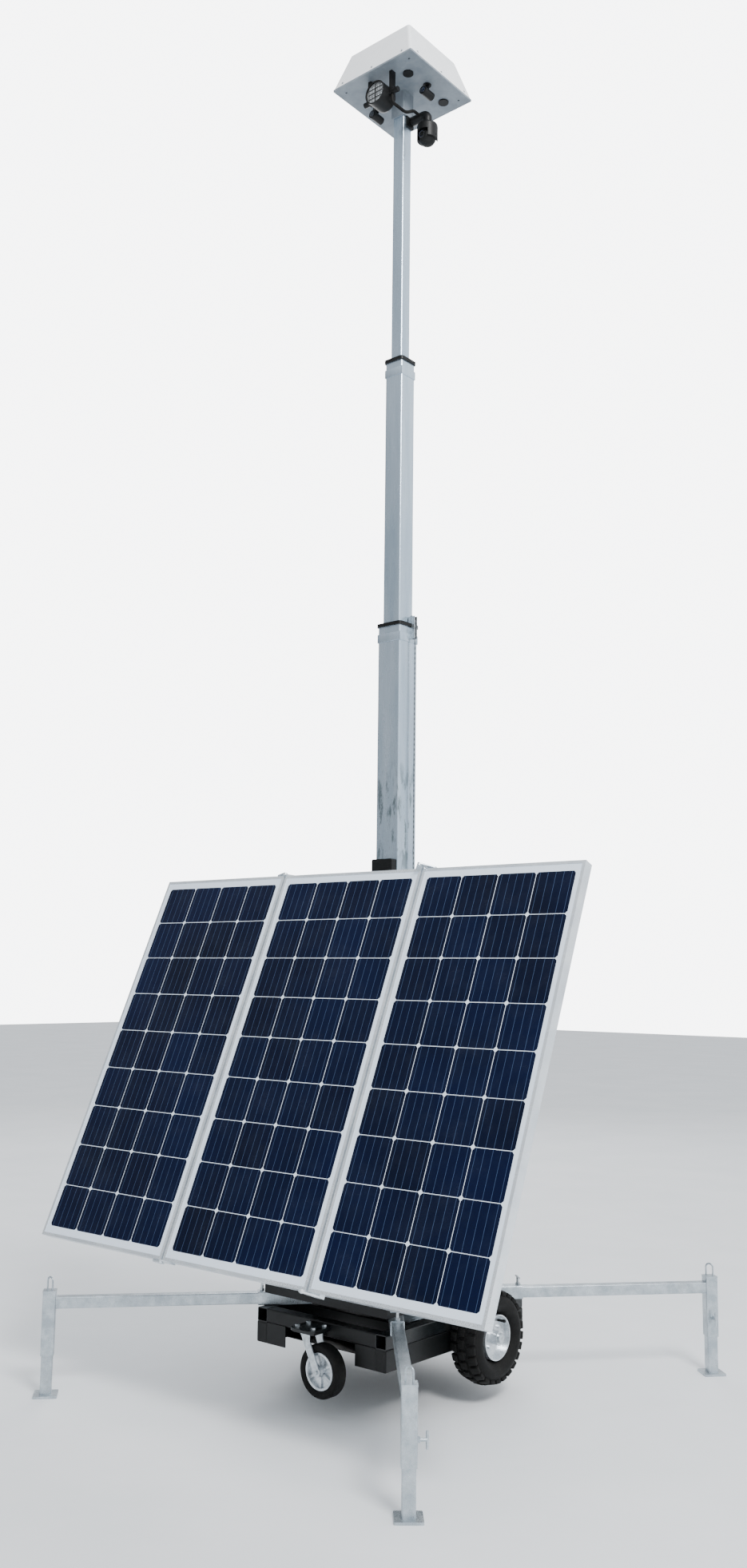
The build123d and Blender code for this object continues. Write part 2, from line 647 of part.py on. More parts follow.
def caster_fork():
    """Crown plate turning on the king pin, two legs and the wheel axle."""
    crown_top = TONGUE_TOP - TONGUE[2] - CASTER_HEAD[2] - CROWN_GAP
    crown_bottom = crown_top - FORK_PLATE
    outer_y = FORK_HALF_WIDTH + FORK_PLATE
    # The crown turns in front of the first deck tube, so its corners stay inside that circle.
    swing_r = CHASSIS_FRONT_Y - CASTER_Y - SIDE_CLEARANCE
    shoulder_x = (swing_r ** 2 - outer_y ** 2) ** 0.5
    back_x = -CROWN_R / 2
    with BuildPart() as fork:
        with BuildSketch(Plane.XY.offset(crown_bottom)):
            with Locations((0, CASTER_Y)):
                Circle(CROWN_R)
            with Locations(((shoulder_x + back_x) / 2, CASTER_Y)):
                Rectangle(shoulder_x - back_x, 2 * outer_y)
            with Locations((0, CASTER_Y)):
                Circle(KING_PIN_R + RUNNING_FIT, mode=Mode.SUBTRACT)
        extrude(amount=FORK_PLATE)
        for near in (-FORK_HALF_WIDTH - FORK_PLATE, FORK_HALF_WIDTH):
            with BuildSketch(facing_front(CASTER_Y + near + FORK_PLATE)):
                with BuildLine():
                    Polyline((back_x, crown_top), (shoulder_x, crown_top),
                             (shoulder_x, RAIL_TOP - FORK_DROP),
                             (CASTER_TRAIL + CASTER_HUB_R, CASTER_Z),
                             (CASTER_TRAIL - CASTER_HUB_R, CASTER_Z), close=True)
                make_face()
                with Locations((CASTER_TRAIL, CASTER_Z)):
                    Circle(CASTER_HUB_R)
            extrude(amount=FORK_PLATE)
        axle_end = FORK_HALF_WIDTH + FORK_PLATE + 6
        with BuildSketch(facing_front(CASTER_Y + axle_end)):
            with Locations((CASTER_TRAIL, CASTER_Z)):
                Circle(CASTER_AXLE_R)
        extrude(amount=2 * axle_end)
        with BuildSketch(Plane.XY.offset(crown_bottom)):
            with Locations((0, CASTER_Y)):
                Circle(KING_PIN_R + RUNNING_FIT)
        extrude(amount=FORK_PLATE, mode=Mode.SUBTRACT)
    return fork.part


def caster_tyre():
    """Solid rubber tread of the front wheel."""
    plane = wheel_axis_plane(CASTER_TRAIL, CASTER_Y, CASTER_Z, False)
    height = CASTER_TYRE_R - CASTER_RIM_R
    with BuildPart() as tyre:
        with BuildSketch(plane):
            with Locations((0, CASTER_RIM_R + height / 2)):
                Rectangle(CASTER_TYRE_WIDTH, height)
            outer = vertices().group_by(Axis.Z)[-1]
            fillet(outer, CASTER_TYRE_WIDTH / 5)
        revolve(axis=Axis(plane.origin, plane.x_dir))
    return tyre.part


def caster_rim():
    """Cast wheel centre running on the fork's axle."""
    plane = wheel_axis_plane(CASTER_TRAIL, CASTER_Y, CASTER_Z, False)
    bore = CASTER_AXLE_R + RUNNING_FIT
    rim_r = CASTER_RIM_R - RIM_FIT
    with BuildPart() as rim:
        with BuildSketch(plane):
            with Locations((0, (bore + CASTER_HUB_R) / 2)):
                Rectangle(2 * FORK_HALF_WIDTH - 2, CASTER_HUB_R - bore)
            with Locations((0, (CASTER_HUB_R + rim_r) / 2)):
                Rectangle(CASTER_TYRE_WIDTH / 3, rim_r - CASTER_HUB_R)
            with Locations((0, rim_r - RIM_THICK)):
                Rectangle(CASTER_TYRE_WIDTH - 6, 2 * RIM_THICK)
        revolve(axis=Axis(plane.origin, plane.x_dir))
    return rim.part


# ---- boxes on the deck -----------------------------------------------------------------
def hinge_ear(plane, reach):
    """Ear beside a wall and its pin, on a plane whose normal is the hinge axis.

    reach is the signed distance along local x to the wall; the ear's block lies below the
    axis in local y, clear of the panel that turns."""
    centre = (reach / 2, -HINGE_EYE_R)
    size = (abs(reach), 2 * HINGE_EYE_R)
    with BuildPart() as ear:
        with BuildSketch(plane):
            Circle(HINGE_EYE_R)
            with Locations(centre):
                Rectangle(*size)
        extrude(amount=HINGE_EAR)
        with BuildSketch(plane.offset(HINGE_EAR)):
            Circle(HINGE_PIN_R)
        extrude(amount=HINGE_EYE + 2 * LEAF_GAP)
    return ear.part


def battery_box():
    """Open steel box on the front receivers, with the lid's hinge ears."""
    with BuildPart() as box:
        with BuildSketch(Plane.XY.offset(BOX_BOTTOM)):
            with Locations((0, BATTERY_BOX_Y)):
                Rectangle(BATTERY_BOX[0], BATTERY_BOX[1])
        extrude(amount=BATTERY_BOX[2])
        with BuildSketch(Plane.XY.offset(BOX_BOTTOM + BOX_WALL)):
            with Locations((0, BATTERY_BOX_Y)):
                Rectangle(BATTERY_BOX[0] - 2 * BOX_WALL, BATTERY_BOX[1] - 2 * BOX_WALL)
        extrude(amount=BATTERY_BOX[2], mode=Mode.SUBTRACT)
    ears = [hinge_ear(lid_hinge_plane(x), -LID_HINGE_SETBACK) for x in (-LID_HINGE_X, LID_HINGE_X)]
    return group(box.part, *ears)


def lid_hinge_plane(x):
    """Plane across the lid's hinge line."""
    return Plane(origin=(x, BATTERY_BOX_REAR_Y + LID_HINGE_SETBACK, BOX_TOP + BOX_WALL / 2),
                 x_dir=(0, 1, 0), z_dir=(1, 0, 0))


def door_hinge_plane(rise):
    """Plane across the door's hinge line, at a height above the cabinet floor."""
    return Plane(origin=(-CABINET[0] / 2 - DOOR_HINGE_SETBACK, CABINET_REAR_Y + BOX_WALL / 2,
                         BOX_BOTTOM + rise), x_dir=(1, 0, 0), z_dir=(0, 0, 1))


def battery_lid():
    """Flat lid with a skirt on three sides and two hinge eyes."""
    front_y = BATTERY_BOX_REAR_Y - BATTERY_BOX[1]
    wide = BATTERY_BOX[0] + 2 * (LID_FIT + BOX_WALL)
    deep = BATTERY_BOX[1] + LID_FIT + BOX_WALL
    with BuildPart() as lid:
        with BuildSketch(Plane.XY.offset(BOX_TOP - LID_SKIRT)):
            with Locations((0, BATTERY_BOX_REAR_Y - deep / 2)):
                Rectangle(wide, deep)
            with Locations((0, front_y - LID_FIT + BATTERY_BOX[1])):
                Rectangle(wide - 2 * BOX_WALL, 2 * (BATTERY_BOX[1]), mode=Mode.SUBTRACT)
        extrude(amount=LID_SKIRT)
        with BuildSketch(Plane.XY.offset(BOX_TOP)):
            with Locations((0, BATTERY_BOX_REAR_Y - deep / 2 - 0.5)):
                Rectangle(wide, deep - 1)
        extrude(amount=BOX_WALL)
        for x in (-LID_HINGE_X, LID_HINGE_X):
            eye = lid_hinge_plane(x + HINGE_EAR + LEAF_GAP)
            with BuildSketch(eye):
                Circle(HINGE_EYE_R)
                with Locations((-HINGE_EYE_R, 0)):
                    Rectangle(2 * HINGE_EYE_R, BOX_WALL)
                Circle(HINGE_PIN_R + RUNNING_FIT, mode=Mode.SUBTRACT)
            extrude(amount=HINGE_EYE)
    return lid.part


def batteries():
    """Two sealed batteries with a pair of terminals each."""
    floor = BOX_BOTTOM + BOX_WALL
    inner_width = BATTERY_BOX[0] - 2 * BOX_WALL
    width = (inner_width - 2 * BATTERY_AIR[0] - BATTERY_AIR[1]) / 2
    middle_x = (BATTERY_AIR[1] + width) / 2
    with BuildPart() as cells:
        with BuildSketch(Plane.XY.offset(floor)):
            with Locations((-middle_x, BATTERY_BOX_Y), (middle_x, BATTERY_BOX_Y)):
                RectangleRounded(width, BATTERY_DEPTH, TUBE_CORNER)
        extrude(amount=BATTERY_HEIGHT)
        with BuildSketch(Plane.XY.offset(floor + BATTERY_HEIGHT)):
            with Locations((-middle_x, BATTERY_BOX_Y), (middle_x, BATTERY_BOX_Y)):
                with GridLocations(width - 2 * TERMINAL_INSET, BATTERY_DEPTH, 2, 1):
                    Circle(TERMINAL[0])
        extrude(amount=TERMINAL[1])
    return cells.part


def control_cabinet():
    """Cabinet on the rear receivers, open at the back, with the door's hinge ears."""
    with BuildPart() as box:
        with BuildSketch(Plane.XY.offset(BOX_BOTTOM)):
            with Locations((0, CABINET_FRONT_Y + CABINET[1] / 2)):
                Rectangle(CABINET[0], CABINET[1])
        extrude(amount=CABINET[2])
        with BuildSketch(Plane.XY.offset(BOX_BOTTOM + BOX_WALL)):
            with Locations((0, CABINET_FRONT_Y + BOX_WALL + CABINET[1])):
                Rectangle(CABINET[0] - 2 * BOX_WALL, 2 * CABINET[1])
        extrude(amount=CABINET[2] - 2 * BOX_WALL, mode=Mode.SUBTRACT)
    ears = [hinge_ear(door_hinge_plane(rise), DOOR_HINGE_SETBACK) for rise in DOOR_HINGE_RISES]
    return group(box.part, *ears)


def cabinet_door():
    """Flat rear door with two hinge eyes and a quarter-turn knob."""
    with BuildPart() as door:
        with BuildSketch(facing_front(CABINET_REAR_Y + BOX_WALL)):
            with Locations((0.5, BOX_BOTTOM + CABINET[2] / 2)):
                Rectangle(CABINET[0] - 1, CABINET[2])
        extrude(amount=BOX_WALL)
        for rise in DOOR_HINGE_RISES:
            with BuildSketch(door_hinge_plane(rise + HINGE_EAR + LEAF_GAP)):
                Circle(HINGE_EYE_R)
                with Locations((HINGE_EYE_R, 0)):
                    Rectangle(2 * HINGE_EYE_R, BOX_WALL)
                Circle(HINGE_PIN_R + RUNNING_FIT, mode=Mode.SUBTRACT)
            extrude(amount=HINGE_EYE)
        knob = Plane(origin=(CABINET[0] / 2 - 40, CABINET_REAR_Y + BOX_WALL, BOX_BOTTOM + CABINET[2] / 2),
                     x_dir=(1, 0, 0), z_dir=(0, 1, 0))
        with BuildSketch(knob):
            Circle(KNOB_R)
        extrude(amount=KNOB_LENGTH / 2)
    return door.part


def charge_controller():
    """Finned charge controller on the cabinet's inner wall."""
    inner_y = CABINET_FRONT_Y + BOX_WALL
    middle = BOX_BOTTOM + CONTROLLER_RISE + CONTROLLER[2] / 2
    with BuildPart() as controller:
        with BuildSketch(Plane.XY.offset(middle - CONTROLLER[2] / 2)):
            with Locations((0, inner_y + CONTROLLER[1] / 2)):
                Rectangle(CONTROLLER[0], CONTROLLER[1])
            with Locations((0, inner_y + CONTROLLER[1])):
                with GridLocations(CONTROLLER[0] / 9, 1, 8, 1):
                    Rectangle(CONTROLLER[0] / 18, CONTROLLER[1] * 0.7, mode=Mode.SUBTRACT)
        extrude(amount=CONTROLLER[2])
    return controller.part


# ---- mast ------------------------------------------------------------------------------
def mast_stage(size, wall, bottom, top):
    """One square stage of the mast."""
    return tube(Plane.XY.offset(bottom), size, size, wall, top - bottom, corner=MAST_CORNER)


def collar(size, next_size, top, rope_slot=False):
    """Black cap round the top of a stage that guides the stage inside it."""
    outer = size + 2 * COLLAR_RIM
    opening = next_size + 2 * SLIDE_FIT
    with BuildPart() as ring:
        with BuildSketch(Plane.XY.offset(top - COLLAR_SKIRT)):
            RectangleRounded(outer, outer, MAST_CORNER + COLLAR_RIM)
            RectangleRounded(size, size, MAST_CORNER, mode=Mode.SUBTRACT)
        extrude(amount=COLLAR_SKIRT)
        with BuildSketch(Plane.XY.offset(top)):
            RectangleRounded(outer, outer, MAST_CORNER + COLLAR_RIM)
            RectangleRounded(opening, opening, MAST_CORNER + SLIDE_FIT, mode=Mode.SUBTRACT)
            if rope_slot:
                with Locations((next_size / 2 + (MAST_LOWER - MAST_MIDDLE) / 4, ROPE_Y)):
                    Rectangle((MAST_LOWER - MAST_MIDDLE) / 2 - 2, 2 * ROPE_D, mode=Mode.SUBTRACT)
        extrude(amount=COLLAR_LIP)
    return ring.part


def slide_pads(size, bore, bottom):
    """Pads round the foot of a stage, filling the bore of the stage below."""
    outer = bore - 2 * SLIDE_FIT
    with BuildPart() as pads:
        with BuildSketch(Plane.XY.offset(bottom)):
            RectangleRounded(outer, outer, 2)
            RectangleRounded(size, size, MAST_CORNER, mode=Mode.SUBTRACT)
        extrude(amount=PAD_HEIGHT)
    return pads.part


def mast_buffer():
    """Rubber block on the mast's front face, above the array."""
    bottom = ARRAY_TOP.Z + BUFFER_RISE
    with BuildPart() as block:
        with BuildSketch(facing_front(-MAST_LOWER / 2)):
            with Locations((0, bottom + BUFFER_BLOCK[2] / 2)):
                RectangleRounded(BUFFER_BLOCK[0], BUFFER_BLOCK[2], MAST_CORNER)
        extrude(amount=BUFFER_BLOCK[1])
    return block.part


def pulley_bracket():
    """Two cheeks and a pin over the edge of the lower stage."""
    face = MAST_LOWER / 2
    collar_x = face + COLLAR_RIM + SLIDE_FIT
    collar_top = MAST_LOWER_TOP + COLLAR_LIP + 1
    collar_low = MAST_LOWER_TOP - COLLAR_SKIRT - 2
    outer = ROPE_OUTER_X + 4
    inner = MAST_MIDDLE / 2 + 3
    top = SHEAVE_Z + SHEAVE_R
    foot = collar_low - 45
    half = SHEAVE_WIDTH / 2 + SLIDE_FIT
    with BuildPart() as bracket:
        for near in (ROPE_Y - half - SHEAVE_CHEEK, ROPE_Y + half):
            with BuildSketch(facing_front(near + SHEAVE_CHEEK)):
                with BuildLine():
                    Polyline((face, foot), (outer, foot), (outer, top), (inner, top),
                             (inner, collar_top), (collar_x, collar_top), (collar_x, collar_low),
                             (face, collar_low), close=True)
                make_face()
            extrude(amount=SHEAVE_CHEEK)
        with BuildSketch(facing_front(ROPE_Y + half)):
            with Locations((face + 2, (foot + collar_low) / 2)):
                Rectangle(4, collar_low - foot)
        extrude(amount=2 * half)
        with BuildSketch(facing_front(ROPE_Y + half + SHEAVE_CHEEK)):
            with Locations((SHEAVE_X, SHEAVE_Z)):
                Circle(SHEAVE_PIN_R)
        extrude(amount=2 * (half + SHEAVE_CHEEK))
    return bracket.part


def pulley_sheave():
    """Grooved wheel that turns the lifting rope over the top of the lower stage."""
    groove_r = SHEAVE_R - ROPE_D / 2 - SLIDE_FIT
    bore = SHEAVE_PIN_R + RUNNING_FIT
    flange_r = SHEAVE_R + SHEAVE_FLANGE
    side = (SHEAVE_WIDTH - ROPE_D) / 2 - 1
    plane = Plane(origin=(SHEAVE_X, ROPE_Y, SHEAVE_Z), x_dir=(0, 1, 0), z_dir=(1, 0, 0))
    with BuildPart() as sheave:
        with BuildSketch(plane):
            with Locations((0, (bore + groove_r) / 2)):
                Rectangle(SHEAVE_WIDTH, groove_r - bore)
            with Locations(((SHEAVE_WIDTH - side) / 2, (groove_r + flange_r) / 2),
                           ((side - SHEAVE_WIDTH) / 2, (groove_r + flange_r) / 2)):
                Rectangle(side, flange_r - groove_r)
        revolve(axis=Axis(plane.origin, plane.x_dir))
    return sheave.part


def lifting_rope():
    """Wire rope from the drum, over the sheave and down inside the mast."""
    with BuildPart() as rope:
        with BuildLine():
            Line((ROPE_OUTER_X, ROPE_Y, WINCH_Z), (ROPE_OUTER_X, ROPE_Y, SHEAVE_Z))
            ThreePointArc((ROPE_OUTER_X, ROPE_Y, SHEAVE_Z), (SHEAVE_X, ROPE_Y, SHEAVE_Z + SHEAVE_R),
                          (SHEAVE_INNER_X, ROPE_Y, SHEAVE_Z))
            Line((SHEAVE_INNER_X, ROPE_Y, SHEAVE_Z), (SHEAVE_INNER_X, ROPE_Y, SHEAVE_Z - ROPE_TAIL))
        with BuildSketch(Plane(origin=(ROPE_OUTER_X, ROPE_Y, WINCH_Z))):
            Circle(ROPE_D / 2)
        sweep()
    return rope.part


def winch_frame():
    """Plate and two cheeks on the mast's right face."""
    face = MAST_LOWER / 2
    half = DRUM_WIDTH / 2 + SLIDE_FIT
    plate_x = face + WINCH_PLATE[2]
    with BuildPart() as frame:
        with BuildSketch(facing_right(face)):
            with Locations((ROPE_Y, WINCH_Z)):
                Rectangle(WINCH_PLATE[0], WINCH_PLATE[1])
        extrude(amount=WINCH_PLATE[2])
        for near in (ROPE_Y - half - WINCH_CHEEK, ROPE_Y + half):
            with BuildSketch(facing_front(near + WINCH_CHEEK)):
                with Locations((plate_x + WINCH_CHEEK_REACH / 2, WINCH_Z)):
                    RectangleRounded(WINCH_CHEEK_REACH, WINCH_PLATE[1] * 0.7, 3)
                with Locations((DRUM_X, WINCH_Z)):
                    Circle(WINCH_SHAFT_R + RUNNING_FIT, mode=Mode.SUBTRACT)
            extrude(amount=WINCH_CHEEK)
    return frame.part


def winch_drum():
    """Drum, shaft, crank arm and grip in one turning piece."""
    half = DRUM_WIDTH / 2
    outside = ROPE_Y + half + SLIDE_FIT + WINCH_CHEEK
    crank_y = outside + 14
    plane = Plane(origin=(DRUM_X, ROPE_Y, WINCH_Z), x_dir=(0, 1, 0), z_dir=(1, 0, 0))
    with BuildPart() as drum:
        with BuildSketch(plane):
            with Locations((0, DRUM_R / 2)):
                Rectangle(DRUM_WIDTH, DRUM_R)
            with Locations((2 - half, DRUM_FLANGE_R / 2), (half - 2, DRUM_FLANGE_R / 2)):
                Rectangle(4, DRUM_FLANGE_R)
        revolve(axis=Axis(plane.origin, plane.x_dir))
        shaft_start = ROPE_Y - half - SLIDE_FIT - WINCH_CHEEK
        with BuildSketch(facing_front(crank_y + CRANK_BAR)):
            with Locations((DRUM_X, WINCH_Z)):
                Circle(WINCH_SHAFT_R)
        extrude(amount=crank_y + CRANK_BAR - shaft_start)
        with BuildSketch(facing_front(crank_y + CRANK_BAR)):
            with Locations((DRUM_X, WINCH_Z - CRANK_ARM / 2)):
                SlotCenterToCenter(CRANK_ARM, 2 * CRANK_BAR, rotation=90)
        extrude(amount=CRANK_BAR / 2)
        with BuildSketch(facing_front(crank_y + CRANK_BAR + CRANK_GRIP)):
            with Locations((DRUM_X, WINCH_Z - CRANK_ARM)):
                Circle(CRANK_GRIP_R)
        extrude(amount=CRANK_GRIP)
    return drum.part


def mast_brackets():
    """Upper cheeks with the array's hinge pin, and the lug that holds the strut."""
    face = MAST_LOWER / 2
    eye_r = 2 * TILT_PIN_R
    pin_half = CARRIER_LUG_X + CARRIER_LUG_THICK + 6
    with BuildPart() as upper:
        for x in (-face - STRUT_LUG_THICK, face):
            with BuildSketch(facing_right(x)):
                with Locations((HINGE.Y, HINGE.Z)):
                    Circle(eye_r)
                with Locations(((HINGE.Y + face / 2) / 2, HINGE.Z)):
                    Rectangle(face / 2 - HINGE.Y, 2 * eye_r)
            extrude(amount=STRUT_LUG_THICK)
        with BuildSketch(facing_right(-pin_half)):
            with Locations((HINGE.Y, HINGE.Z)):
                Circle(TILT_PIN_R)
        extrude(amount=2 * pin_half)
    lug_x = STRUT_TUBE / 2 + SIDE_CLEARANCE
    with BuildPart() as lower:
        with BuildSketch(facing_front(-face)):
            with Locations((0, STRUT_FOOT.Z)):
                Rectangle(2 * face - 2 * MAST_CORNER, 5 * eye_r)
        extrude(amount=STRUT_LUG_THICK)
        for x in (-lug_x - STRUT_LUG_THICK, lug_x):
            with BuildSketch(facing_right(x)):
                with Locations((STRUT_FOOT.Y, STRUT_FOOT.Z)):
                    Circle(eye_r)
                with Locations(((STRUT_FOOT.Y - face) / 2, STRUT_FOOT.Z)):
                    Rectangle(-face - STRUT_FOOT.Y, 2 * eye_r)
            extrude(amount=STRUT_LUG_THICK)
        pin = lug_x + STRUT_LUG_THICK + 6
        with BuildSketch(facing_right(-pin)):
            with Locations((STRUT_FOOT.Y, STRUT_FOOT.Z)):
                Circle(TILT_PIN_R)
        extrude(amount=2 * pin)
    return group(upper.part, lower.part)


# ---- array -----------------------------------------------------------------------------
def carrier_cross(drop, left, right):
    """Level tube of the carrier between two X stations."""
    plane = Plane(origin=array_point(left, drop, (CARRIER_FRONT + CARRIER_BACK) / 2),
                  x_dir=UP_SLOPE, z_dir=(1, 0, 0))
    return tube(plane, CARRIER_TUBE, CARRIER_TUBE, CARRIER_WALL, right - left, corner=CARRIER_WALL + 1)


def carrier_lugs(drop, inner_x, thick, pin):
    """Pair of lugs behind a cross tube, round a point at the hinge's depth."""
    eye_r = 2 * TILT_PIN_R
    with BuildPart() as lugs:
        for x in (-inner_x - thick, inner_x):
            plane = Plane(origin=array_point(x, drop, CARRIER_HINGE_DEPTH), x_dir=UP_SLOPE, z_dir=(1, 0, 0))
            with BuildSketch(plane):
                Circle(eye_r)
                with Locations((0, (CARRIER_HINGE_DEPTH - CARRIER_BACK) / 2)):
                    Rectangle(2 * eye_r, CARRIER_HINGE_DEPTH - CARRIER_BACK)
                if not pin:
                    Circle(TILT_PIN_R + RUNNING_FIT, mode=Mode.SUBTRACT)
            extrude(amount=thick)
        if pin:
            half = inner_x + thick + 4
            plane = Plane(origin=array_point(-half, drop, CARRIER_HINGE_DEPTH), x_dir=UP_SLOPE,
                          z_dir=(1, 0, 0))
            with BuildSketch(plane):
                Circle(TILT_PIN_R)
            extrude(amount=2 * half)
    return lugs.part


def array_carrier():
    """Ladder of square tube behind the modules, with hinge and strut lugs."""
    rail_depth = (CARRIER_FRONT + CARRIER_BACK) / 2
    rails = [tube(facing_down_slope(x, CARRIER_END_INSET, rail_depth), CARRIER_TUBE, CARRIER_TUBE,
                  CARRIER_WALL, MODULE_LENGTH - 2 * CARRIER_END_INSET, corner=CARRIER_WALL + 1)
             for x in (-CARRIER_X, CARRIER_X)]
    inner = CARRIER_X - CARRIER_TUBE / 2
    outer = CARRIER_X + CARRIER_TUBE / 2
    rungs = [carrier_cross(drop, -inner, inner)
             for drop in (CARRIER_HINGE_DROP, CARRIER_HINGE_DROP + STRUT_ARM, CARRIER_FOOT_DROP)]
    rests = []
    for drop in WING_REST_DROPS:
        rests.append(carrier_cross(drop, -WING_REST_REACH, -outer))
        rests.append(carrier_cross(drop, outer, WING_REST_REACH))
    top = carrier_lugs(CARRIER_HINGE_DROP, CARRIER_LUG_X, CARRIER_LUG_THICK, False)
    low = carrier_lugs(CARRIER_HINGE_DROP + STRUT_ARM, STRUT_ROD / 2 + SIDE_CLEARANCE,
                       STRUT_LUG_THICK, True)
    return group(*rails, *rungs, *rests, top, low)


def long_bar(x, side):
    """Frame bar along the slope; side is +1 where the laminate lies to its right."""
    with BuildPart() as bar:
        with BuildSketch(facing_down_slope(x, 0, 0)):
            with Locations((side * BAR_WIDTH / 2, -MODULE_DEPTH / 2)):
                Rectangle(BAR_WIDTH, MODULE_DEPTH)
            with Locations((side * (BAR_WIDTH + BAR_WEB) / 2, -BAR_LIP - LAMINATE_THICK / 2)):
                Rectangle(BAR_WIDTH - BAR_WEB, LAMINATE_THICK, mode=Mode.SUBTRACT)
        extrude(amount=MODULE_LENGTH)
        with BuildSketch(facing_down_slope(x, BAR_WIDTH + BAR_FLANGE, 0)):
            with Locations((side * (BAR_WIDTH + BAR_FLANGE / 2), BAR_FLANGE_THICK / 2 - MODULE_DEPTH)):
                Rectangle(BAR_FLANGE, BAR_FLANGE_THICK)
        extrude(amount=MODULE_LENGTH - 2 * (BAR_WIDTH + BAR_FLANGE))
    return bar.part


def short_bar(x_middle, drop, side):
    """Frame bar across the module; side is +1 where the laminate lies downhill of it."""
    length = MODULE_WIDTH - 2 * BAR_WIDTH
    plane = Plane(origin=array_point(x_middle - length / 2, drop, 0), x_dir=-UP_SLOPE, z_dir=(1, 0, 0))
    sign = 1 if plane.y_dir.dot(BACKWARD) > 0 else -1
    with BuildPart() as bar:
        with BuildSketch(plane):
            with Locations((side * BAR_WIDTH / 2, sign * MODULE_DEPTH / 2)):
                Rectangle(BAR_WIDTH, MODULE_DEPTH)
            with Locations((side * (BAR_WIDTH + BAR_FLANGE / 2), sign * (MODULE_DEPTH - BAR_FLANGE_THICK / 2))):
                Rectangle(BAR_FLANGE, BAR_FLANGE_THICK)
            with Locations((side * (BAR_WIDTH + BAR_WEB) / 2, sign * (BAR_LIP + LAMINATE_THICK / 2))):
                Rectangle(BAR_WIDTH - BAR_WEB, LAMINATE_THICK, mode=Mode.SUBTRACT)
        extrude(amount=length)
    return bar.part


def centre_leaf(side, end):
    """Hinge leaf and pin on the centre module, at the top (-1) or foot (+1) end face."""
    drop = 0 if end < 0 else MODULE_LENGTH
    with BuildPart() as leaf:
        with BuildSketch(facing_down_slope(0, drop, 0)):
            with Locations((side * SEAM_X, FOLD_DEPTH[side])):
                Circle(LEAF_EYE_R)
            with Locations((side * (SEAM_X - SEAM_GAP / 2 - LEAF_FOOT[0] / 2), -MODULE_DEPTH / 2)):
                Rectangle(*LEAF_FOOT)
            make_hull()
        extrude(amount=end * LEAF_THICK)
        with BuildSketch(facing_down_slope(0, drop, 0)):
            with Locations((side * SEAM_X, FOLD_DEPTH[side])):
                Circle(LEAF_PIN_R)
        extrude(amount=end * (2 * LEAF_THICK + 4 * LEAF_GAP + 1))
    return leaf.part


def wing_leaf(side, end):
    """Hinge leaf of a wing module, stepped out past the centre leaf."""
    drop = 0 if end < 0 else MODULE_LENGTH
    step = LEAF_THICK + LEAF_GAP
    foot = (side * (SEAM_X + LEAF_FOOT_INSET + LEAF_FOOT[0] / 2), -MODULE_DEPTH / 2)
    with BuildPart() as leaf:
        with BuildSketch(facing_down_slope(0, drop + end * step, 0)):
            with Locations((side * SEAM_X, FOLD_DEPTH[side])):
                Circle(LEAF_EYE_R)
            with Locations(foot):
                Rectangle(*LEAF_FOOT)
            make_hull()
            with Locations((side * SEAM_X, FOLD_DEPTH[side])):
                Circle(LEAF_PIN_R + RUNNING_FIT, mode=Mode.SUBTRACT)
        extrude(amount=end * LEAF_THICK)
        with BuildSketch(facing_down_slope(0, drop, 0)):
            with Locations(foot):
                Rectangle(*LEAF_FOOT)
        extrude(amount=end * step)
    return leaf.part


def module_frame(x_middle, leaves):
    """Four aluminium bars round a laminate, with the hinge leaves of that module."""
    half = MODULE_WIDTH / 2
    bars = [long_bar(x_middle - half, 1), long_bar(x_middle + half, -1),
            short_bar(x_middle, 0, 1), short_bar(x_middle, MODULE_LENGTH, -1)]
    return group(*bars, *leaves)


def laminate(x_middle):
    """Glass-covered cell plate held in the frame's groove, with its junction box."""
    inset = 2 * BAR_WEB
    with BuildPart() as plate:
        with BuildSketch(facing_back(x_middle, MODULE_LENGTH / 2, BAR_LIP)):
            Rectangle(MODULE_WIDTH - inset, MODULE_LENGTH - inset)
        extrude(amount=LAMINATE_THICK)
        with BuildSketch(facing_back(x_middle, JUNCTION_BOX_DROP, BAR_LIP + LAMINATE_THICK)):
            Rectangle(JUNCTION_BOX[0], JUNCTION_BOX[1])
        extrude(amount=JUNCTION_BOX[2])
    return plate.part


def strut_plane(distance):
    """Plane across the strut at a distance from its pin on the mast."""
    return Plane(origin=STRUT_FOOT + STRUT_AXIS * distance, x_dir=(1, 0, 0), z_dir=STRUT_AXIS)


def strut_tube():
    """Outer tube of the tilt strut, pinned to the mast."""
    with BuildPart() as outer:
        with BuildSketch(strut_plane(-STRUT_TUBE_TAIL)):
            tube_section(STRUT_TUBE, STRUT_TUBE, STRUT_TUBE_WALL, STRUT_TUBE_WALL + 1)
        extrude(amount=STRUT_TUBE_LENGTH + STRUT_TUBE_TAIL)
        with BuildSketch(facing_right(-STRUT_TUBE)):
            with Locations((STRUT_FOOT.Y, STRUT_FOOT.Z)):
                Circle(TILT_PIN_R + RUNNING_FIT)
        extrude(amount=2 * STRUT_TUBE, mode=Mode.SUBTRACT)
    return outer.part


def strut_rod():
    """Inner tube of the tilt strut, with a wide eye round the array's pin."""
    start = STRUT_LENGTH + STRUT_ROD_NOSE - STRUT_ROD_LENGTH
    with BuildPart() as rod:
        with BuildSketch(strut_plane(start)):
            tube_section(STRUT_ROD, STRUT_ROD, STRUT_ROD_WALL, STRUT_ROD_WALL + 1)
        extrude(amount=STRUT_ROD_LENGTH)
        with BuildSketch(facing_right(-STRUT_ROD)):
            with Locations((STRUT_HEAD.Y, STRUT_HEAD.Z)):
                Circle(TILT_PIN_R + STRUT_PIN_SLACK)
        extrude(amount=2 * STRUT_ROD, mode=Mode.SUBTRACT)
    return rod.part


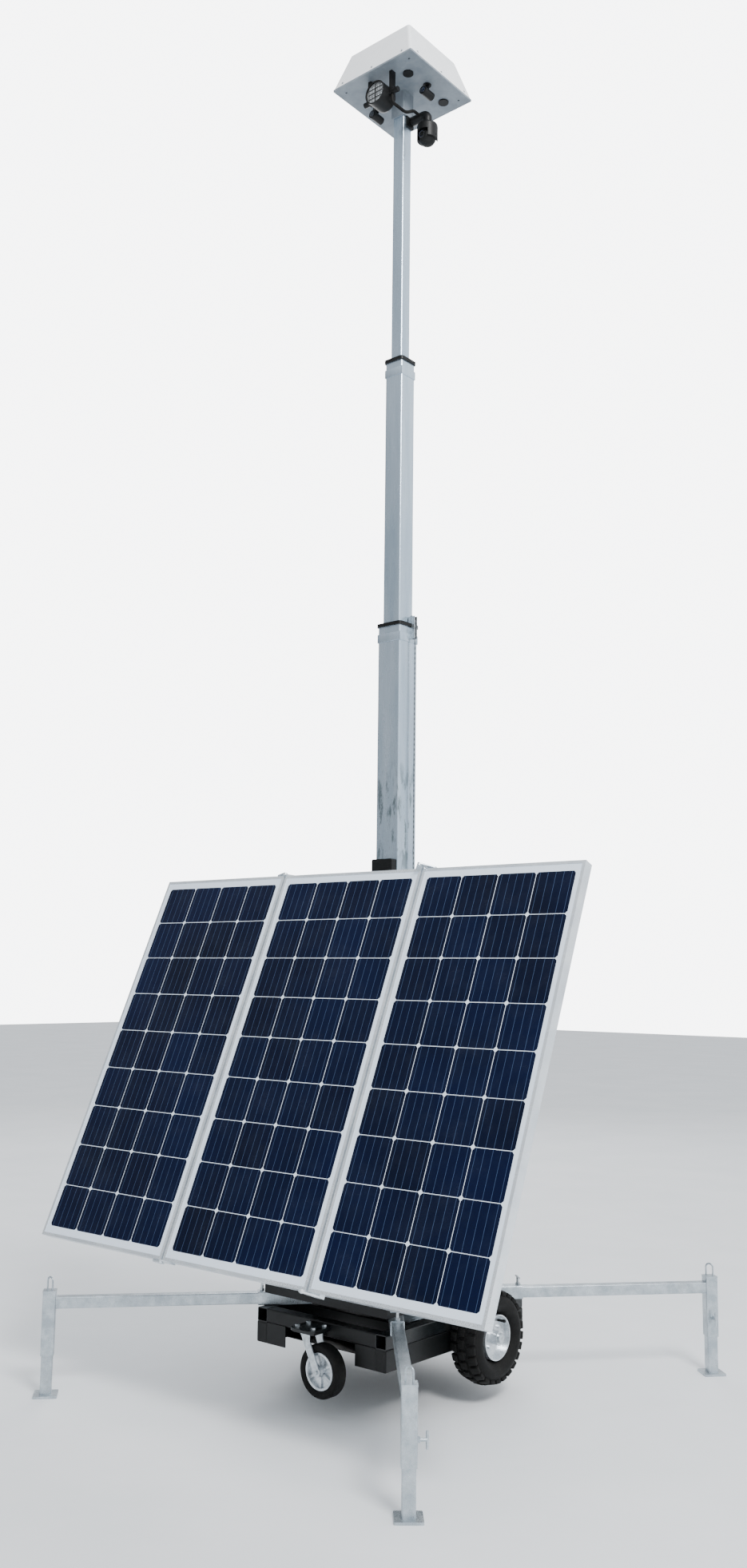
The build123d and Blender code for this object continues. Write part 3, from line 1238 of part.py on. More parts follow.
# ---- head ------------------------------------------------------------------------------
def head_plate():
    """Square equipment plate with a socket over the top of the mast."""
    socket_inner = MAST_UPPER
    socket_outer = MAST_UPPER + 2 * HEAD_SOCKET_WALL
    with BuildPart() as plate:
        with BuildSketch(Plane.XY.offset(HEAD_BOTTOM)):
            RectangleRounded(HEAD_PLATE, HEAD_PLATE, 3)
            with GridLocations(ACCESSORY_SPACING[0], ACCESSORY_SPACING[1], 2, 2):
                Circle(ACCESSORY_HOLE_R, mode=Mode.SUBTRACT)
        extrude(amount=HEAD_PLATE_THICK)
        with BuildSketch(Plane.XY.offset(HEAD_BOTTOM)):
            RectangleRounded(socket_outer, socket_outer, MAST_CORNER)
            RectangleRounded(socket_inner, socket_inner, MAST_CORNER, mode=Mode.SUBTRACT)
        extrude(amount=-HEAD_SOCKET)
    return plate.part


def head_cover():
    """White tapered cover over the head plate, open underneath."""
    bottom = HEAD_BOTTOM + HEAD_PLATE_THICK
    inner_height = COVER_HEIGHT - COVER_WALL
    with BuildPart() as cover:
        with BuildSketch(Plane.XY.offset(bottom)):
            RectangleRounded(HEAD_PLATE, HEAD_PLATE, 12)
        with BuildSketch(Plane.XY.offset(bottom + COVER_HEIGHT)):
            RectangleRounded(COVER_TOP, COVER_TOP, 12)
        loft()
        with BuildSketch(Plane.XY.offset(bottom)):
            RectangleRounded(HEAD_PLATE - 2 * COVER_WALL, HEAD_PLATE - 2 * COVER_WALL, 8)
        with BuildSketch(Plane.XY.offset(bottom + inner_height)):
            RectangleRounded(COVER_TOP - 2 * COVER_WALL, COVER_TOP - 2 * COVER_WALL, 8)
        loft(mode=Mode.SUBTRACT)
    return cover.part


def head_brackets():
    """Floodlight yoke under the plate and the curved arm of the dome camera."""
    arm_x = FLOOD_R + SIDE_CLEARANCE + YOKE_BAR[0] / 2
    with BuildPart() as yoke:
        with BuildSketch(Plane.XY.offset(HEAD_BOTTOM)):
            with Locations((FLOOD_X - arm_x, FLOOD_Y), (FLOOD_X + arm_x, FLOOD_Y)):
                Rectangle(*YOKE_BAR)
        extrude(amount=-(FLOOD_DROP + YOKE_BAR[1] / 2))
        with BuildSketch(facing_right(FLOOD_X - FLOOD_R - 2 * YOKE_BAR[0])):
            with Locations((FLOOD_Y, FLOOD_Z)):
                Circle(PIVOT_R + RUNNING_FIT)
        extrude(amount=2 * (FLOOD_R + 2 * YOKE_BAR[0]), mode=Mode.SUBTRACT)
    face = MAST_UPPER / 2
    bend_r = 1.2 * PTZ_ARM_R
    corner_x = PTZ_X - bend_r
    flange_top = HEAD_BOTTOM - HEAD_SOCKET - LEAF_GAP
    with BuildPart() as arm:
        with BuildSketch(facing_right(face)):
            with Locations((PTZ_Y / 2, flange_top - PTZ_FLANGE[1] / 2)):
                Rectangle(PTZ_FLANGE[0], PTZ_FLANGE[1])
        extrude(amount=PTZ_FLANGE[2])
        with BuildLine(facing_front(PTZ_Y)):
            Line((face + PTZ_FLANGE[2] - 1, PTZ_ARM_Z), (corner_x, PTZ_ARM_Z))
            JernArc((corner_x, PTZ_ARM_Z), (1, 0), bend_r, -90)
            Line((PTZ_X, PTZ_ARM_Z - bend_r), (PTZ_X, PTZ_BODY_TOP + LEAF_GAP))
        with BuildSketch(Plane(origin=(face + PTZ_FLANGE[2] - 1, PTZ_Y, PTZ_ARM_Z), z_dir=(1, 0, 0))):
            Circle(PTZ_ARM_R)
        sweep()
        with BuildSketch(Plane.XY.offset(PTZ_BODY_TOP + LEAF_GAP)):
            with Locations((PTZ_X, PTZ_Y)):
                Circle(PIVOT_R)
        extrude(amount=-12)
    return group(yoke.part, arm.part)


def head_fittings():
    """Two blanking plugs and two small bullet cameras under the plate."""
    with BuildPart() as plugs:
        with BuildSketch(Plane.XY.offset(HEAD_BOTTOM)):
            with Locations(*PLUG_PLACES):
                Circle(PLUG_R)
        extrude(amount=-5)
    cameras = []
    for x, y in BULLET_PLACES:
        stem = 22.0
        centre_z = HEAD_BOTTOM - stem - BULLET_R
        with BuildPart() as bullet:
            with BuildSketch(Plane.XY.offset(HEAD_BOTTOM)):
                with Locations((x, y)):
                    Circle(BULLET_R)
            extrude(amount=-4)
            with BuildSketch(Plane.XY.offset(HEAD_BOTTOM)):
                with Locations((x, y)):
                    Circle(BULLET_R / 2)
            extrude(amount=-(stem + BULLET_R))
            with BuildSketch(facing_front(y + BULLET_LENGTH / 2)):
                with Locations((x, centre_z)):
                    Circle(BULLET_R)
            extrude(amount=BULLET_LENGTH)
        cameras.append(bullet.part)
    return group(plugs.part, *cameras)


def floodlight_body():
    """Round lamp housing with a rim, two trunnions and two knobs."""
    front = FLOOD_Y - FLOOD_DEPTH / 2
    outside = FLOOD_R + SIDE_CLEARANCE + YOKE_BAR[0] + SIDE_CLEARANCE
    with BuildPart() as body:
        with BuildSketch(facing_front(FLOOD_Y + FLOOD_DEPTH / 2)):
            with Locations((FLOOD_X, FLOOD_Z)):
                Circle(FLOOD_R)
        extrude(amount=FLOOD_DEPTH)
        rear_edge = body.edges().filter_by(GeomType.CIRCLE).sort_by(Axis.Y)[-1]
        fillet(rear_edge, FLOOD_R * 0.4)
        with BuildSketch(facing_front(front + FLOOD_RIM)):
            with Locations((FLOOD_X, FLOOD_Z)):
                Circle(FLOOD_LENS_R)
        extrude(amount=FLOOD_RIM, mode=Mode.SUBTRACT)
        for side in (-1, 1):
            start = FLOOD_X + side * (FLOOD_R - 8)
            pivot = Plane(origin=(start, FLOOD_Y, FLOOD_Z), x_dir=(0, 1, 0), z_dir=(side, 0, 0))
            with BuildSketch(pivot):
                Circle(PIVOT_R)
            extrude(amount=outside - FLOOD_R + 8)
            with BuildSketch(pivot.offset(outside - FLOOD_R + 8)):
                Circle(KNOB_R)
            extrude(amount=KNOB_LENGTH)
    return body.part


def floodlight_lens():
    """Clear lens set into the lamp's rim."""
    front = FLOOD_Y - FLOOD_DEPTH / 2
    with BuildPart() as lens:
        with BuildSketch(facing_front(front + FLOOD_RIM)):
            with Locations((FLOOD_X, FLOOD_Z)):
                Circle(FLOOD_LENS_R - RIM_FIT)
        extrude(amount=FLOOD_RIM / 2)
    return lens.part


def ptz_body():
    """Turning housing of the dome camera, slotted for the ball."""
    low = PTZ_BALL_Z - PTZ_BODY_R * 0.25
    with BuildPart() as body:
        with BuildSketch(Plane.XY.offset(low)):
            with Locations((PTZ_X, PTZ_Y)):
                Circle(PTZ_BODY_R)
        extrude(amount=PTZ_BODY_TOP - low)
        top_edge = body.edges().filter_by(GeomType.CIRCLE).sort_by(Axis.Z)[-1]
        fillet(top_edge, 12)
        with BuildSketch(Plane.XY.offset(PTZ_BODY_TOP)):
            with Locations((PTZ_X, PTZ_Y)):
                Circle(PIVOT_R + RUNNING_FIT)
        extrude(amount=-14, mode=Mode.SUBTRACT)
        with Locations((PTZ_X, PTZ_Y, PTZ_BALL_Z)):
            Sphere(PTZ_BALL_R + PTZ_BALL_FIT, mode=Mode.SUBTRACT)
        mouth_top = PTZ_BALL_Z + PTZ_BALL_R * 0.6
        with BuildSketch(Plane.XY.offset(low)):
            with Locations((PTZ_X, PTZ_Y)):
                Rectangle(PTZ_MOUTH, 3 * PTZ_BODY_R)
        extrude(amount=mouth_top - low, mode=Mode.SUBTRACT)
        with BuildSketch(facing_right(PTZ_X - PTZ_BODY_R - 1)):
            with Locations((PTZ_Y, PTZ_BALL_Z)):
                Circle(PTZ_TRUNNION_R + RUNNING_FIT)
        extrude(amount=2 * PTZ_BODY_R + 2, mode=Mode.SUBTRACT)
    return body.part


def ptz_ball():
    """Ball with its lens barrel and two trunnions."""
    half = PTZ_BODY_R - 1
    with BuildPart() as ball:
        with Locations((PTZ_X, PTZ_Y, PTZ_BALL_Z)):
            Sphere(PTZ_BALL_R)
        with BuildSketch(facing_right(PTZ_X - half)):
            with Locations((PTZ_Y, PTZ_BALL_Z)):
                Circle(PTZ_TRUNNION_R)
        extrude(amount=2 * half)
        with BuildSketch(facing_front(PTZ_Y - PTZ_BALL_R + 10)):
            with Locations((PTZ_X, PTZ_BALL_Z)):
                Circle(PTZ_BALL_R * 0.45)
        extrude(amount=14)
    return ball.part


def head_cable():
    """Black lead from the floodlight's yoke round the mast to the dome camera's arm."""
    start_x = FLOOD_X + FLOOD_R + SIDE_CLEARANCE + YOKE_BAR[0] / 2
    start_z = FLOOD_Z - YOKE_BAR[1] / 2
    end_y = PTZ_Y - PTZ_ARM_R
    end_x = start_x + 22
    points = ((start_x, FLOOD_Y, start_z), (start_x, FLOOD_Y, start_z - 34),
              (start_x + 12, (FLOOD_Y + end_y) / 2, start_z - 46), (end_x, end_y - 36, PTZ_ARM_Z),
              (end_x, end_y, PTZ_ARM_Z))
    with BuildPart() as cable:
        with BuildLine() as route:
            FilletPolyline(*points, radius=(18, 40, 34))
        with BuildSketch(Plane(origin=route.line @ 0, z_dir=route.line % 0)):
            Circle(CABLE_R)
        sweep()
    return cable.part


def all_nodes():
    """Every node of the tower by name."""
    middle_foot = MAST_LOWER_TOP - MAST_MIDDLE_OVERLAP
    upper_foot = MAST_MIDDLE_TOP - MAST_UPPER_OVERLAP
    lower_bore = MAST_LOWER - 2 * MAST_LOWER_WALL
    middle_bore = MAST_MIDDLE - 2 * MAST_MIDDLE_WALL
    nodes = {
        "side_rails": side_rails(),
        "cross_tubes": cross_tubes(),
        "stow_tubes": stow_tubes(),
        "belly_pan": belly_pan(),
        "mast_base": mast_base(),
        "caster_tongue": caster_tongue(),
        "rear_axle": rear_axle(),
        "frame_fasteners": group(frame_bolts(), *arm_lock_screws()),
        "arm_receivers": arm_receivers(),
        "battery_box": battery_box(),
        "battery_lid": battery_lid(),
        "batteries": batteries(),
        "control_cabinet": control_cabinet(),
        "cabinet_door": cabinet_door(),
        "charge_controller": charge_controller(),
        "mast_lower": mast_stage(MAST_LOWER, MAST_LOWER_WALL, BASE_TOP, MAST_LOWER_TOP),
        "mast_lower_guides": group(collar(MAST_LOWER, MAST_MIDDLE, MAST_LOWER_TOP, rope_slot=True),
                                   mast_buffer()),
        "pulley_bracket": pulley_bracket(),
        "pulley_sheave": pulley_sheave(),
        "winch_frame": winch_frame(),
        "winch_drum": winch_drum(),
        "lifting_rope": lifting_rope(),
        "mast_brackets": mast_brackets(),
        "mast_middle": mast_stage(MAST_MIDDLE, MAST_MIDDLE_WALL, middle_foot, MAST_MIDDLE_TOP),
        "mast_middle_guides": group(collar(MAST_MIDDLE, MAST_UPPER, MAST_MIDDLE_TOP),
                                    slide_pads(MAST_MIDDLE, lower_bore, middle_foot)),
        "mast_upper": mast_stage(MAST_UPPER, MAST_UPPER_WALL, upper_foot, MAST_UPPER_TOP),
        "mast_upper_pads": slide_pads(MAST_UPPER, middle_bore, upper_foot),
        "head_plate": head_plate(),
        "head_cover": head_cover(),
        "head_brackets": head_brackets(),
        "head_fittings": head_fittings(),
        "head_cable": head_cable(),
        "floodlight_body": floodlight_body(),
        "floodlight_lens": floodlight_lens(),
        "ptz_body": ptz_body(),
        "ptz_ball": ptz_ball(),
        "array_carrier": array_carrier(),
        "centre_frame": module_frame(0, [centre_leaf(side, end) for side in (-1, 1) for end in (-1, 1)]),
        "centre_laminate": laminate(0),
        "strut_tube": strut_tube(),
        "strut_rod": strut_rod(),
        "caster_fork": caster_fork(),
        "caster_tyre": caster_tyre(),
        "caster_rim": caster_rim(),
    }
    for name, side in (("left", -1), ("right", 1)):
        leaves = [wing_leaf(side, end) for end in (-1, 1)]
        nodes[name + "_frame"] = module_frame(side * WING_X, leaves)
        nodes[name + "_laminate"] = laminate(side * WING_X)
        nodes[name + "_tyre"] = rear_tyre(side)
        nodes[name + "_rim"] = rear_rim(side)
    for name, sides in CORNERS.items():
        nodes[name + "_arm"] = outrigger_arm(*sides)
        nodes[name + "_leg"] = outrigger_leg(*sides)
    return nodes


def main():
    """Build the tower and write one STEP file per node."""
    os.makedirs("parts", exist_ok=True)
    for name, part in all_nodes().items():
        part.label = name
        export_step(part, "parts/" + name + ".step")


if __name__ == "__main__":
    main()
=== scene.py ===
"""Looks of a portable solar mast trolley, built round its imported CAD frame."""
from __future__ import annotations

import json
import logging
import math
from dataclasses import dataclass, field
from enum import Enum
from typing import Any, Callable, Iterable

import bpy
from mathutils import Matrix, Quaternion, Vector

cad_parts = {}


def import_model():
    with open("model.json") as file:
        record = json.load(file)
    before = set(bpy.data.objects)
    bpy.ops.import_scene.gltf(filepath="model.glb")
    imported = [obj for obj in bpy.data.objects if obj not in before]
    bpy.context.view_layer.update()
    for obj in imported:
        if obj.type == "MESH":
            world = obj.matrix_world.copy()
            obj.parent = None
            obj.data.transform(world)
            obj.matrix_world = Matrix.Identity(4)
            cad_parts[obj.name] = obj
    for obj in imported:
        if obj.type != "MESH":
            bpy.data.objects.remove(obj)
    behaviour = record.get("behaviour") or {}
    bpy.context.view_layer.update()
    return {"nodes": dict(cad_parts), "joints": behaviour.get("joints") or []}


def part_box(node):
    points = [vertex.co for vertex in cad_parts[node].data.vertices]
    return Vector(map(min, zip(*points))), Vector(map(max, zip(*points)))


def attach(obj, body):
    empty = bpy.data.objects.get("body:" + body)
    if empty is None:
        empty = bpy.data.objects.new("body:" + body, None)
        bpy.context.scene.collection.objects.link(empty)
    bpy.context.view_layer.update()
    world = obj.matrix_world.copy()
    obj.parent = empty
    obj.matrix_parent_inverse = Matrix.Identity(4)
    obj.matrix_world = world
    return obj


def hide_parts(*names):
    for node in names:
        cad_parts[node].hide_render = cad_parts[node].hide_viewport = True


LOG = logging.getLogger("solar_mast")
MM = 0.001
MM_PER_M = 1000
CORNERS = ("front_left", "front_right", "rear_left", "rear_right")


class Axis(Enum):
    """Directions that turned pieces lie along."""

    X = (0.0, math.pi / 2, 0.0)
    Y = (math.pi / 2, 0.0, 0.0)
    Z = (0.0, 0.0, 0.0)


# ---- materials -------------------------------------------------------------------------
def linear(hex_colour: str) -> tuple[float, float, float, float]:
    """Turn an sRGB hex colour into linear light.

    Args:
        hex_colour: six hex digits after a hash.

    Returns:
        Linear red, green, blue and an alpha of one.
    """
    raw = [int(hex_colour[i:i + 2], 16) / 255 for i in (1, 3, 5)]
    light = [c / 12.92 if c <= 0.04045 else ((c + 0.055) / 1.055) ** 2.4 for c in raw]
    return (light[0], light[1], light[2], 1.0)


def add_node(tree: bpy.types.NodeTree, kind: str, settings: dict[str, Any] | None = None,
             **inputs: Any) -> bpy.types.Node:
    """Add a shader node with its settings, values and links.

    Args:
        tree: node tree of the material.
        kind: Blender's name of the node type.
        settings: attributes to set on the node.
        inputs: values or output sockets, keyed by input name, or i0, i1 for a numbered one.

    Returns:
        The new node.
    """
    node = tree.nodes.new(kind)
    for key, value in (settings or {}).items():
        setattr(node, key, value)
    for key, value in inputs.items():
        numbered = key[0] == "i" and key[1:].isdigit()
        socket = node.inputs[int(key[1:]) if numbered else key.replace("_", " ")]
        if isinstance(value, bpy.types.NodeSocket):
            tree.links.new(value, socket)
        else:
            socket.default_value = value
    return node


def math_node(tree: bpy.types.NodeTree, operation: str, *values: Any) -> bpy.types.NodeSocket:
    """Work out one scalar operation.

    Args:
        tree: node tree of the material.
        operation: Blender's name of the operation.
        values: numbers or sockets.

    Returns:
        The socket with the result.
    """
    inputs = {f"i{index}": value for index, value in enumerate(values)}
    return add_node(tree, "ShaderNodeMath", {"operation": operation}, **inputs).outputs[0]


def remap(tree: bpy.types.NodeTree, value: Any, source: tuple[float, float],
          target: tuple[float, float] = (0.0, 1.0)) -> bpy.types.NodeSocket:
    """Stretch a value from one range to another, held at the ends.

    Args:
        tree: node tree of the material.
        value: the socket to stretch.
        source: range that it is read over.
        target: range that it is turned into.

    Returns:
        The stretched socket.
    """
    node = add_node(tree, "ShaderNodeMapRange", i0=value, i1=source[0], i2=source[1],
                    i3=target[0], i4=target[1])
    return node.outputs[0]


def noise(tree: bpy.types.NodeTree, place: Any, scale: float, detail: float = 2.0,
          roughness: float = 0.5) -> bpy.types.NodeSocket:
    """Cloudy noise in space.

    Args:
        tree: node tree of the material.
        place: coordinates it is read at.
        scale: clouds to a metre.
        detail: octaves.
        roughness: weight of the finer octaves.

    Returns:
        The socket with the noise, about 0.3 to 0.7.
    """
    return add_node(tree, "ShaderNodeTexNoise", Vector=place, Scale=scale, Detail=detail,
                    Roughness=roughness).outputs[0]


def dot(tree: bpy.types.NodeTree, first: Any, second: Any) -> bpy.types.NodeSocket:
    """Dot product of two vectors.

    Args:
        tree: node tree of the material.
        first: a vector or a socket.
        second: a vector or a socket.

    Returns:
        The socket with the product.
    """
    return add_node(tree, "ShaderNodeVectorMath", {"operation": "DOT_PRODUCT"}, i0=first,
                    i1=second).outputs["Value"]


def mix_colour(tree: bpy.types.NodeTree, factor: Any, first: Any, second: Any) -> bpy.types.NodeSocket:
    """Blend two colours.

    Args:
        tree: node tree of the material.
        factor: share of the second colour.
        first: colour or socket.
        second: colour or socket.

    Returns:
        The socket with the blend.
    """
    node = add_node(tree, "ShaderNodeMix", {"data_type": "RGBA"}, i0=factor, i6=first, i7=second)
    return node.outputs[2]


def empty_material(name: str) -> tuple[bpy.types.Material, bpy.types.NodeTree]:
    """Start a material with nothing in its tree.

    Args:
        name: name of the material.

    Returns:
        The material and its tree.
    """
    material = bpy.data.materials.new(name)
    material.use_nodes = True
    material.node_tree.nodes.clear()
    return material, material.node_tree


def surface(tree: bpy.types.NodeTree, shader: bpy.types.Node) -> None:
    """Send a shader to the material's output.

    Args:
        tree: node tree of the material.
        shader: the shader.
    """
    add_node(tree, "ShaderNodeOutputMaterial", Surface=shader.outputs[0])


# Parts of a noise's range that patterns are read from.
WHOLE_NOISE = (0.3, 0.7)
MIDDLE_OF_NOISE = (0.35, 0.65)
PEAKS_OF_NOISE = (0.52, 0.75)
DIRT_CLOUDS = 0.4  # clouds of dirt to one patch of drift


@dataclass(frozen=True)
class Finish:
    """A worked surface: a base colour that drifts, fine grain, grime and small scratches."""

    name: str
    base: str
    drift: str
    grime: str
    roughness: float
    metallic: float = 0.0
    ior: float = 1.5
    spread: float = 0.12
    grain_mm: float = 3.0
    grain_depth_mm: float = 0.05
    patch_mm: float = 60.0
    stretch: tuple[float, float, float] = (1.0, 1.0, 1.0)
    grime_amount: float = 0.25
    coat: float = 0.0
    spangle_mm: float = 0.0
    specular: float = 0.5
    scuffs_between: tuple[float, float] = (0.0, 0.0)

    def build(self) -> bpy.types.Material:
        """Make the material.

        Returns:
            The material.
        """
        material, tree = empty_material(self.name)
        place = add_node(tree, "ShaderNodeTexCoord").outputs["Object"]
        mapped = add_node(tree, "ShaderNodeMapping", Vector=place, Scale=self.stretch).outputs[0]
        patches = noise(tree, mapped, MM_PER_M / self.patch_mm, 5.0, 0.6)
        grain = noise(tree, mapped, MM_PER_M / self.grain_mm)
        tone = remap(tree, patches, MIDDLE_OF_NOISE)
        colour = mix_colour(tree, tone, linear(self.base), linear(self.drift))
        if self.spangle_mm:
            # Zinc crystals show as angular flakes, each a little lighter or darker.
            flakes = add_node(tree, "ShaderNodeTexVoronoi", Vector=place, Scale=MM_PER_M / self.spangle_mm)
            flake = add_node(tree, "ShaderNodeSeparateColor", i0=flakes.outputs["Color"]).outputs[0]
            shade = math_node(tree, "MULTIPLY", flake, 0.35)
            colour = mix_colour(tree, shade, colour, linear(self.drift))
        clouds = noise(tree, mapped, DIRT_CLOUDS * MM_PER_M / self.patch_mm, 8.0, 0.75)
        dirt = remap(tree, clouds, PEAKS_OF_NOISE, (0.0, self.grime_amount))
        colour = mix_colour(tree, dirt, colour, linear(self.grime))
        if self.scuffs_between[1]:
            colour = mix_colour(tree, self.scuffs(tree, place), colour, linear("#4b5a57"))
        rough = remap(tree, grain, WHOLE_NOISE, (max(self.roughness - self.spread, 0.03),
                                                 min(self.roughness + self.spread, 1.0)))
        bump = add_node(tree, "ShaderNodeBump", Strength=0.6, Distance=self.grain_depth_mm * MM,
                        Height=grain).outputs[0]
        shader = add_node(tree, "ShaderNodeBsdfPrincipled", Base_Color=colour, Metallic=self.metallic,
                          Roughness=rough, IOR=self.ior, Normal=bump)
        shader.inputs["Coat Weight"].default_value = self.coat
        shader.inputs["Specular IOR Level"].default_value = self.specular
        surface(tree, shader)
        return material

    def scuffs(self, tree: bpy.types.NodeTree, place: bpy.types.NodeSocket) -> bpy.types.NodeSocket:
        """Ragged upright rub marks between two heights, where the folded modules touch the mast.

        Args:
            tree: node tree of the material.
            place: object coordinates.

        Returns:
            The socket that is high on the marks.
        """
        low, high = self.scuffs_between
        z = add_node(tree, "ShaderNodeSeparateXYZ", Vector=place).outputs["Z"]
        rise = remap(tree, z, (low - 0.15, low + 0.1))
        fall = remap(tree, z, (high - 0.2, high), (1.0, 0.0))
        upright = add_node(tree, "ShaderNodeMapping", Vector=place, Scale=(1.0, 1.0, 0.25)).outputs[0]
        marks = remap(tree, noise(tree, upright, 38.0, 7.0, 0.7), (0.52, 0.6), (0.0, 0.7))
        return math_node(tree, "MULTIPLY", marks, math_node(tree, "MULTIPLY", rise, fall))


@dataclass(frozen=True)
class CellFinish:
    """Monocrystalline cells under glass, on a white back sheet that shows in the gaps."""

    name: str
    centre_x: float
    up_slope: tuple[float, float, float]
    top_drop: float
    cells_across: int = 4
    cells_along: int = 9
    pitch_across: float = 154.5 * MM
    pitch_along: float = 156.4 * MM
    gap: float = 2.1 * MM
    clip: float = 0.065
    dust_range: tuple[float, float] = (0.3, 0.8)
    busbars: int = 5
    busbar_width: float = 1.5 * MM
    dark_cell: str = "#00030c"
    light_cell: str = "#010f33"
    wire: str = "#7f9fd0"
    back_sheet: str = "#dfeaf6"
    rear: str = "#e4e8ea"
    dust: str = "#8f99a3"
    glass_ior: float = 1.22
    coat: tuple[float, float] = (0.06, 0.08)

    def build(self) -> bpy.types.Material:
        """Make the material.

        Returns:
            The material.
        """
        material, tree = empty_material(self.name)
        coords = add_node(tree, "ShaderNodeTexCoord")
        x = add_node(tree, "ShaderNodeSeparateXYZ", Vector=coords.outputs["Object"]).outputs[0]
        rise = dot(tree, coords.outputs["Object"], self.up_slope)
        left = self.centre_x - self.cells_across * self.pitch_across / 2
        across = math_node(tree, "DIVIDE", math_node(tree, "SUBTRACT", x, left), self.pitch_across)
        along = math_node(tree, "DIVIDE", math_node(tree, "SUBTRACT", self.top_drop, rise),
                          self.pitch_along)
        off_x = self.from_middle(tree, across)
        off_y = self.from_middle(tree, along)
        inside = math_node(tree, "MULTIPLY",
                           math_node(tree, "LESS_THAN", off_x, 0.5 - self.gap / self.pitch_across / 2),
                           math_node(tree, "LESS_THAN", off_y, 0.5 - self.gap / self.pitch_along / 2))
        corner = math_node(tree, "LESS_THAN", math_node(tree, "ADD", off_x, off_y), 1.0 - self.clip)
        inside = math_node(tree, "MULTIPLY", inside, corner)
        for value, count in ((across, self.cells_across), (along, self.cells_along)):
            limit = math_node(tree, "MULTIPLY", math_node(tree, "GREATER_THAN", value, 0.0),
                              math_node(tree, "LESS_THAN", value, float(count)))
            inside = math_node(tree, "MULTIPLY", inside, limit)
        number = add_node(tree, "ShaderNodeCombineXYZ", X=math_node(tree, "FLOOR", across),
                          Y=math_node(tree, "FLOOR", along), Z=self.centre_x).outputs[0]
        shade = add_node(tree, "ShaderNodeTexWhiteNoise", Vector=number).outputs["Value"]
        cloud = noise(tree, coords.outputs["Object"], 3.0, 3.0)
        shade = math_node(tree, "ADD", math_node(tree, "MULTIPLY", shade, 0.25),
                          math_node(tree, "MULTIPLY", cloud, 0.75))
        cell = mix_colour(tree, shade, linear(self.dark_cell), linear(self.light_cell))
        wires = math_node(tree, "MULTIPLY", across, float(self.busbars))
        on_wire = math_node(tree, "LESS_THAN", self.from_middle(tree, wires),
                            self.busbar_width * self.busbars / self.pitch_across / 2)
        cell = mix_colour(tree, math_node(tree, "MULTIPLY", on_wire, 0.20), cell, linear(self.wire))
        front = mix_colour(tree, inside, linear(self.back_sheet), cell)
        dust = noise(tree, coords.outputs["Object"], 9.0, 9.0, 0.7)
        haze = remap(tree, dust, (0.45, 0.8), (0.0, 0.02))
        front = mix_colour(tree, haze, front, linear(self.dust))
        facing = dot(tree, coords.outputs["Normal"], (0.0, -self.up_slope[2], self.up_slope[1]))
        in_front = math_node(tree, "GREATER_THAN", facing, 0.5)
        colour = mix_colour(tree, in_front, linear(self.rear), front)
        rough = remap(tree, dust, self.dust_range, (0.16, 0.34))
        # The glass has an anti-reflective coat, so it throws back less than bare glass would.
        shader = add_node(tree, "ShaderNodeBsdfPrincipled", Base_Color=colour, Roughness=rough,
                          IOR=self.glass_ior)
        shader.inputs["Coat Weight"].default_value = self.coat[0]
        shader.inputs["Coat Roughness"].default_value = self.coat[1]
        surface(tree, shader)
        return material

    def from_middle(self, tree: bpy.types.NodeTree, value: Any) -> bpy.types.NodeSocket:
        """Distance of a repeating value from the middle of its period.

        Args:
            tree: node tree of the material.
            value: a value with a period of one.

        Returns:
            The socket with the distance, 0 to 0.5.
        """
        wrapped = math_node(tree, "FRACT", value)
        return math_node(tree, "ABSOLUTE", math_node(tree, "SUBTRACT", wrapped, 0.5))


@dataclass(frozen=True)
class WireRopeFinish:
    """Galvanised wire rope: strands laid round it show as slanting dark and light bands."""

    name: str = "galvanised_wire_rope"
    lay_mm: float = 2.5

    def build(self) -> bpy.types.Material:
        """Make the material.

        Returns:
            The material.
        """
        material, tree = empty_material(self.name)
        place = add_node(tree, "ShaderNodeTexCoord").outputs["Object"]
        slant = add_node(tree, "ShaderNodeMapping", Vector=place, Rotation=(0.5, 0.5, 0.0)).outputs[0]
        bands = add_node(tree, "ShaderNodeTexWave", {"bands_direction": "Z"}, Vector=slant,
                         Scale=MM_PER_M / self.lay_mm / 20, Distortion=0.4).outputs["Fac"]
        colour = mix_colour(tree, bands, linear("#4c5256"), linear("#858b8f"))
        bump = add_node(tree, "ShaderNodeBump", Strength=0.8, Distance=0.0008, Height=bands).outputs[0]
        shader = add_node(tree, "ShaderNodeBsdfPrincipled", Base_Color=colour, Metallic=0.9,
                          Roughness=0.42, Normal=bump)
        surface(tree, shader)
        return material


@dataclass(frozen=True)
class ClearFinish:
    """Moulded clear lens over a lamp."""

    name: str = "clear_polycarbonate"

    def build(self) -> bpy.types.Material:
        """Make the material.

        Returns:
            The material.
        """
        material, tree = empty_material(self.name)
        place = add_node(tree, "ShaderNodeTexCoord").outputs["Object"]
        facets = add_node(tree, "ShaderNodeTexVoronoi", Vector=place, Scale=1000 / 9).outputs[0]
        bump = add_node(tree, "ShaderNodeBump", Strength=0.35, Distance=0.001, Height=facets).outputs[0]
        shader = add_node(tree, "ShaderNodeBsdfPrincipled", Roughness=0.08, IOR=1.58, Normal=bump)
        shader.inputs["Base Color"].default_value = linear("#f3f7fa")
        shader.inputs["Transmission Weight"].default_value = 0.85
        surface(tree, shader)
        return material


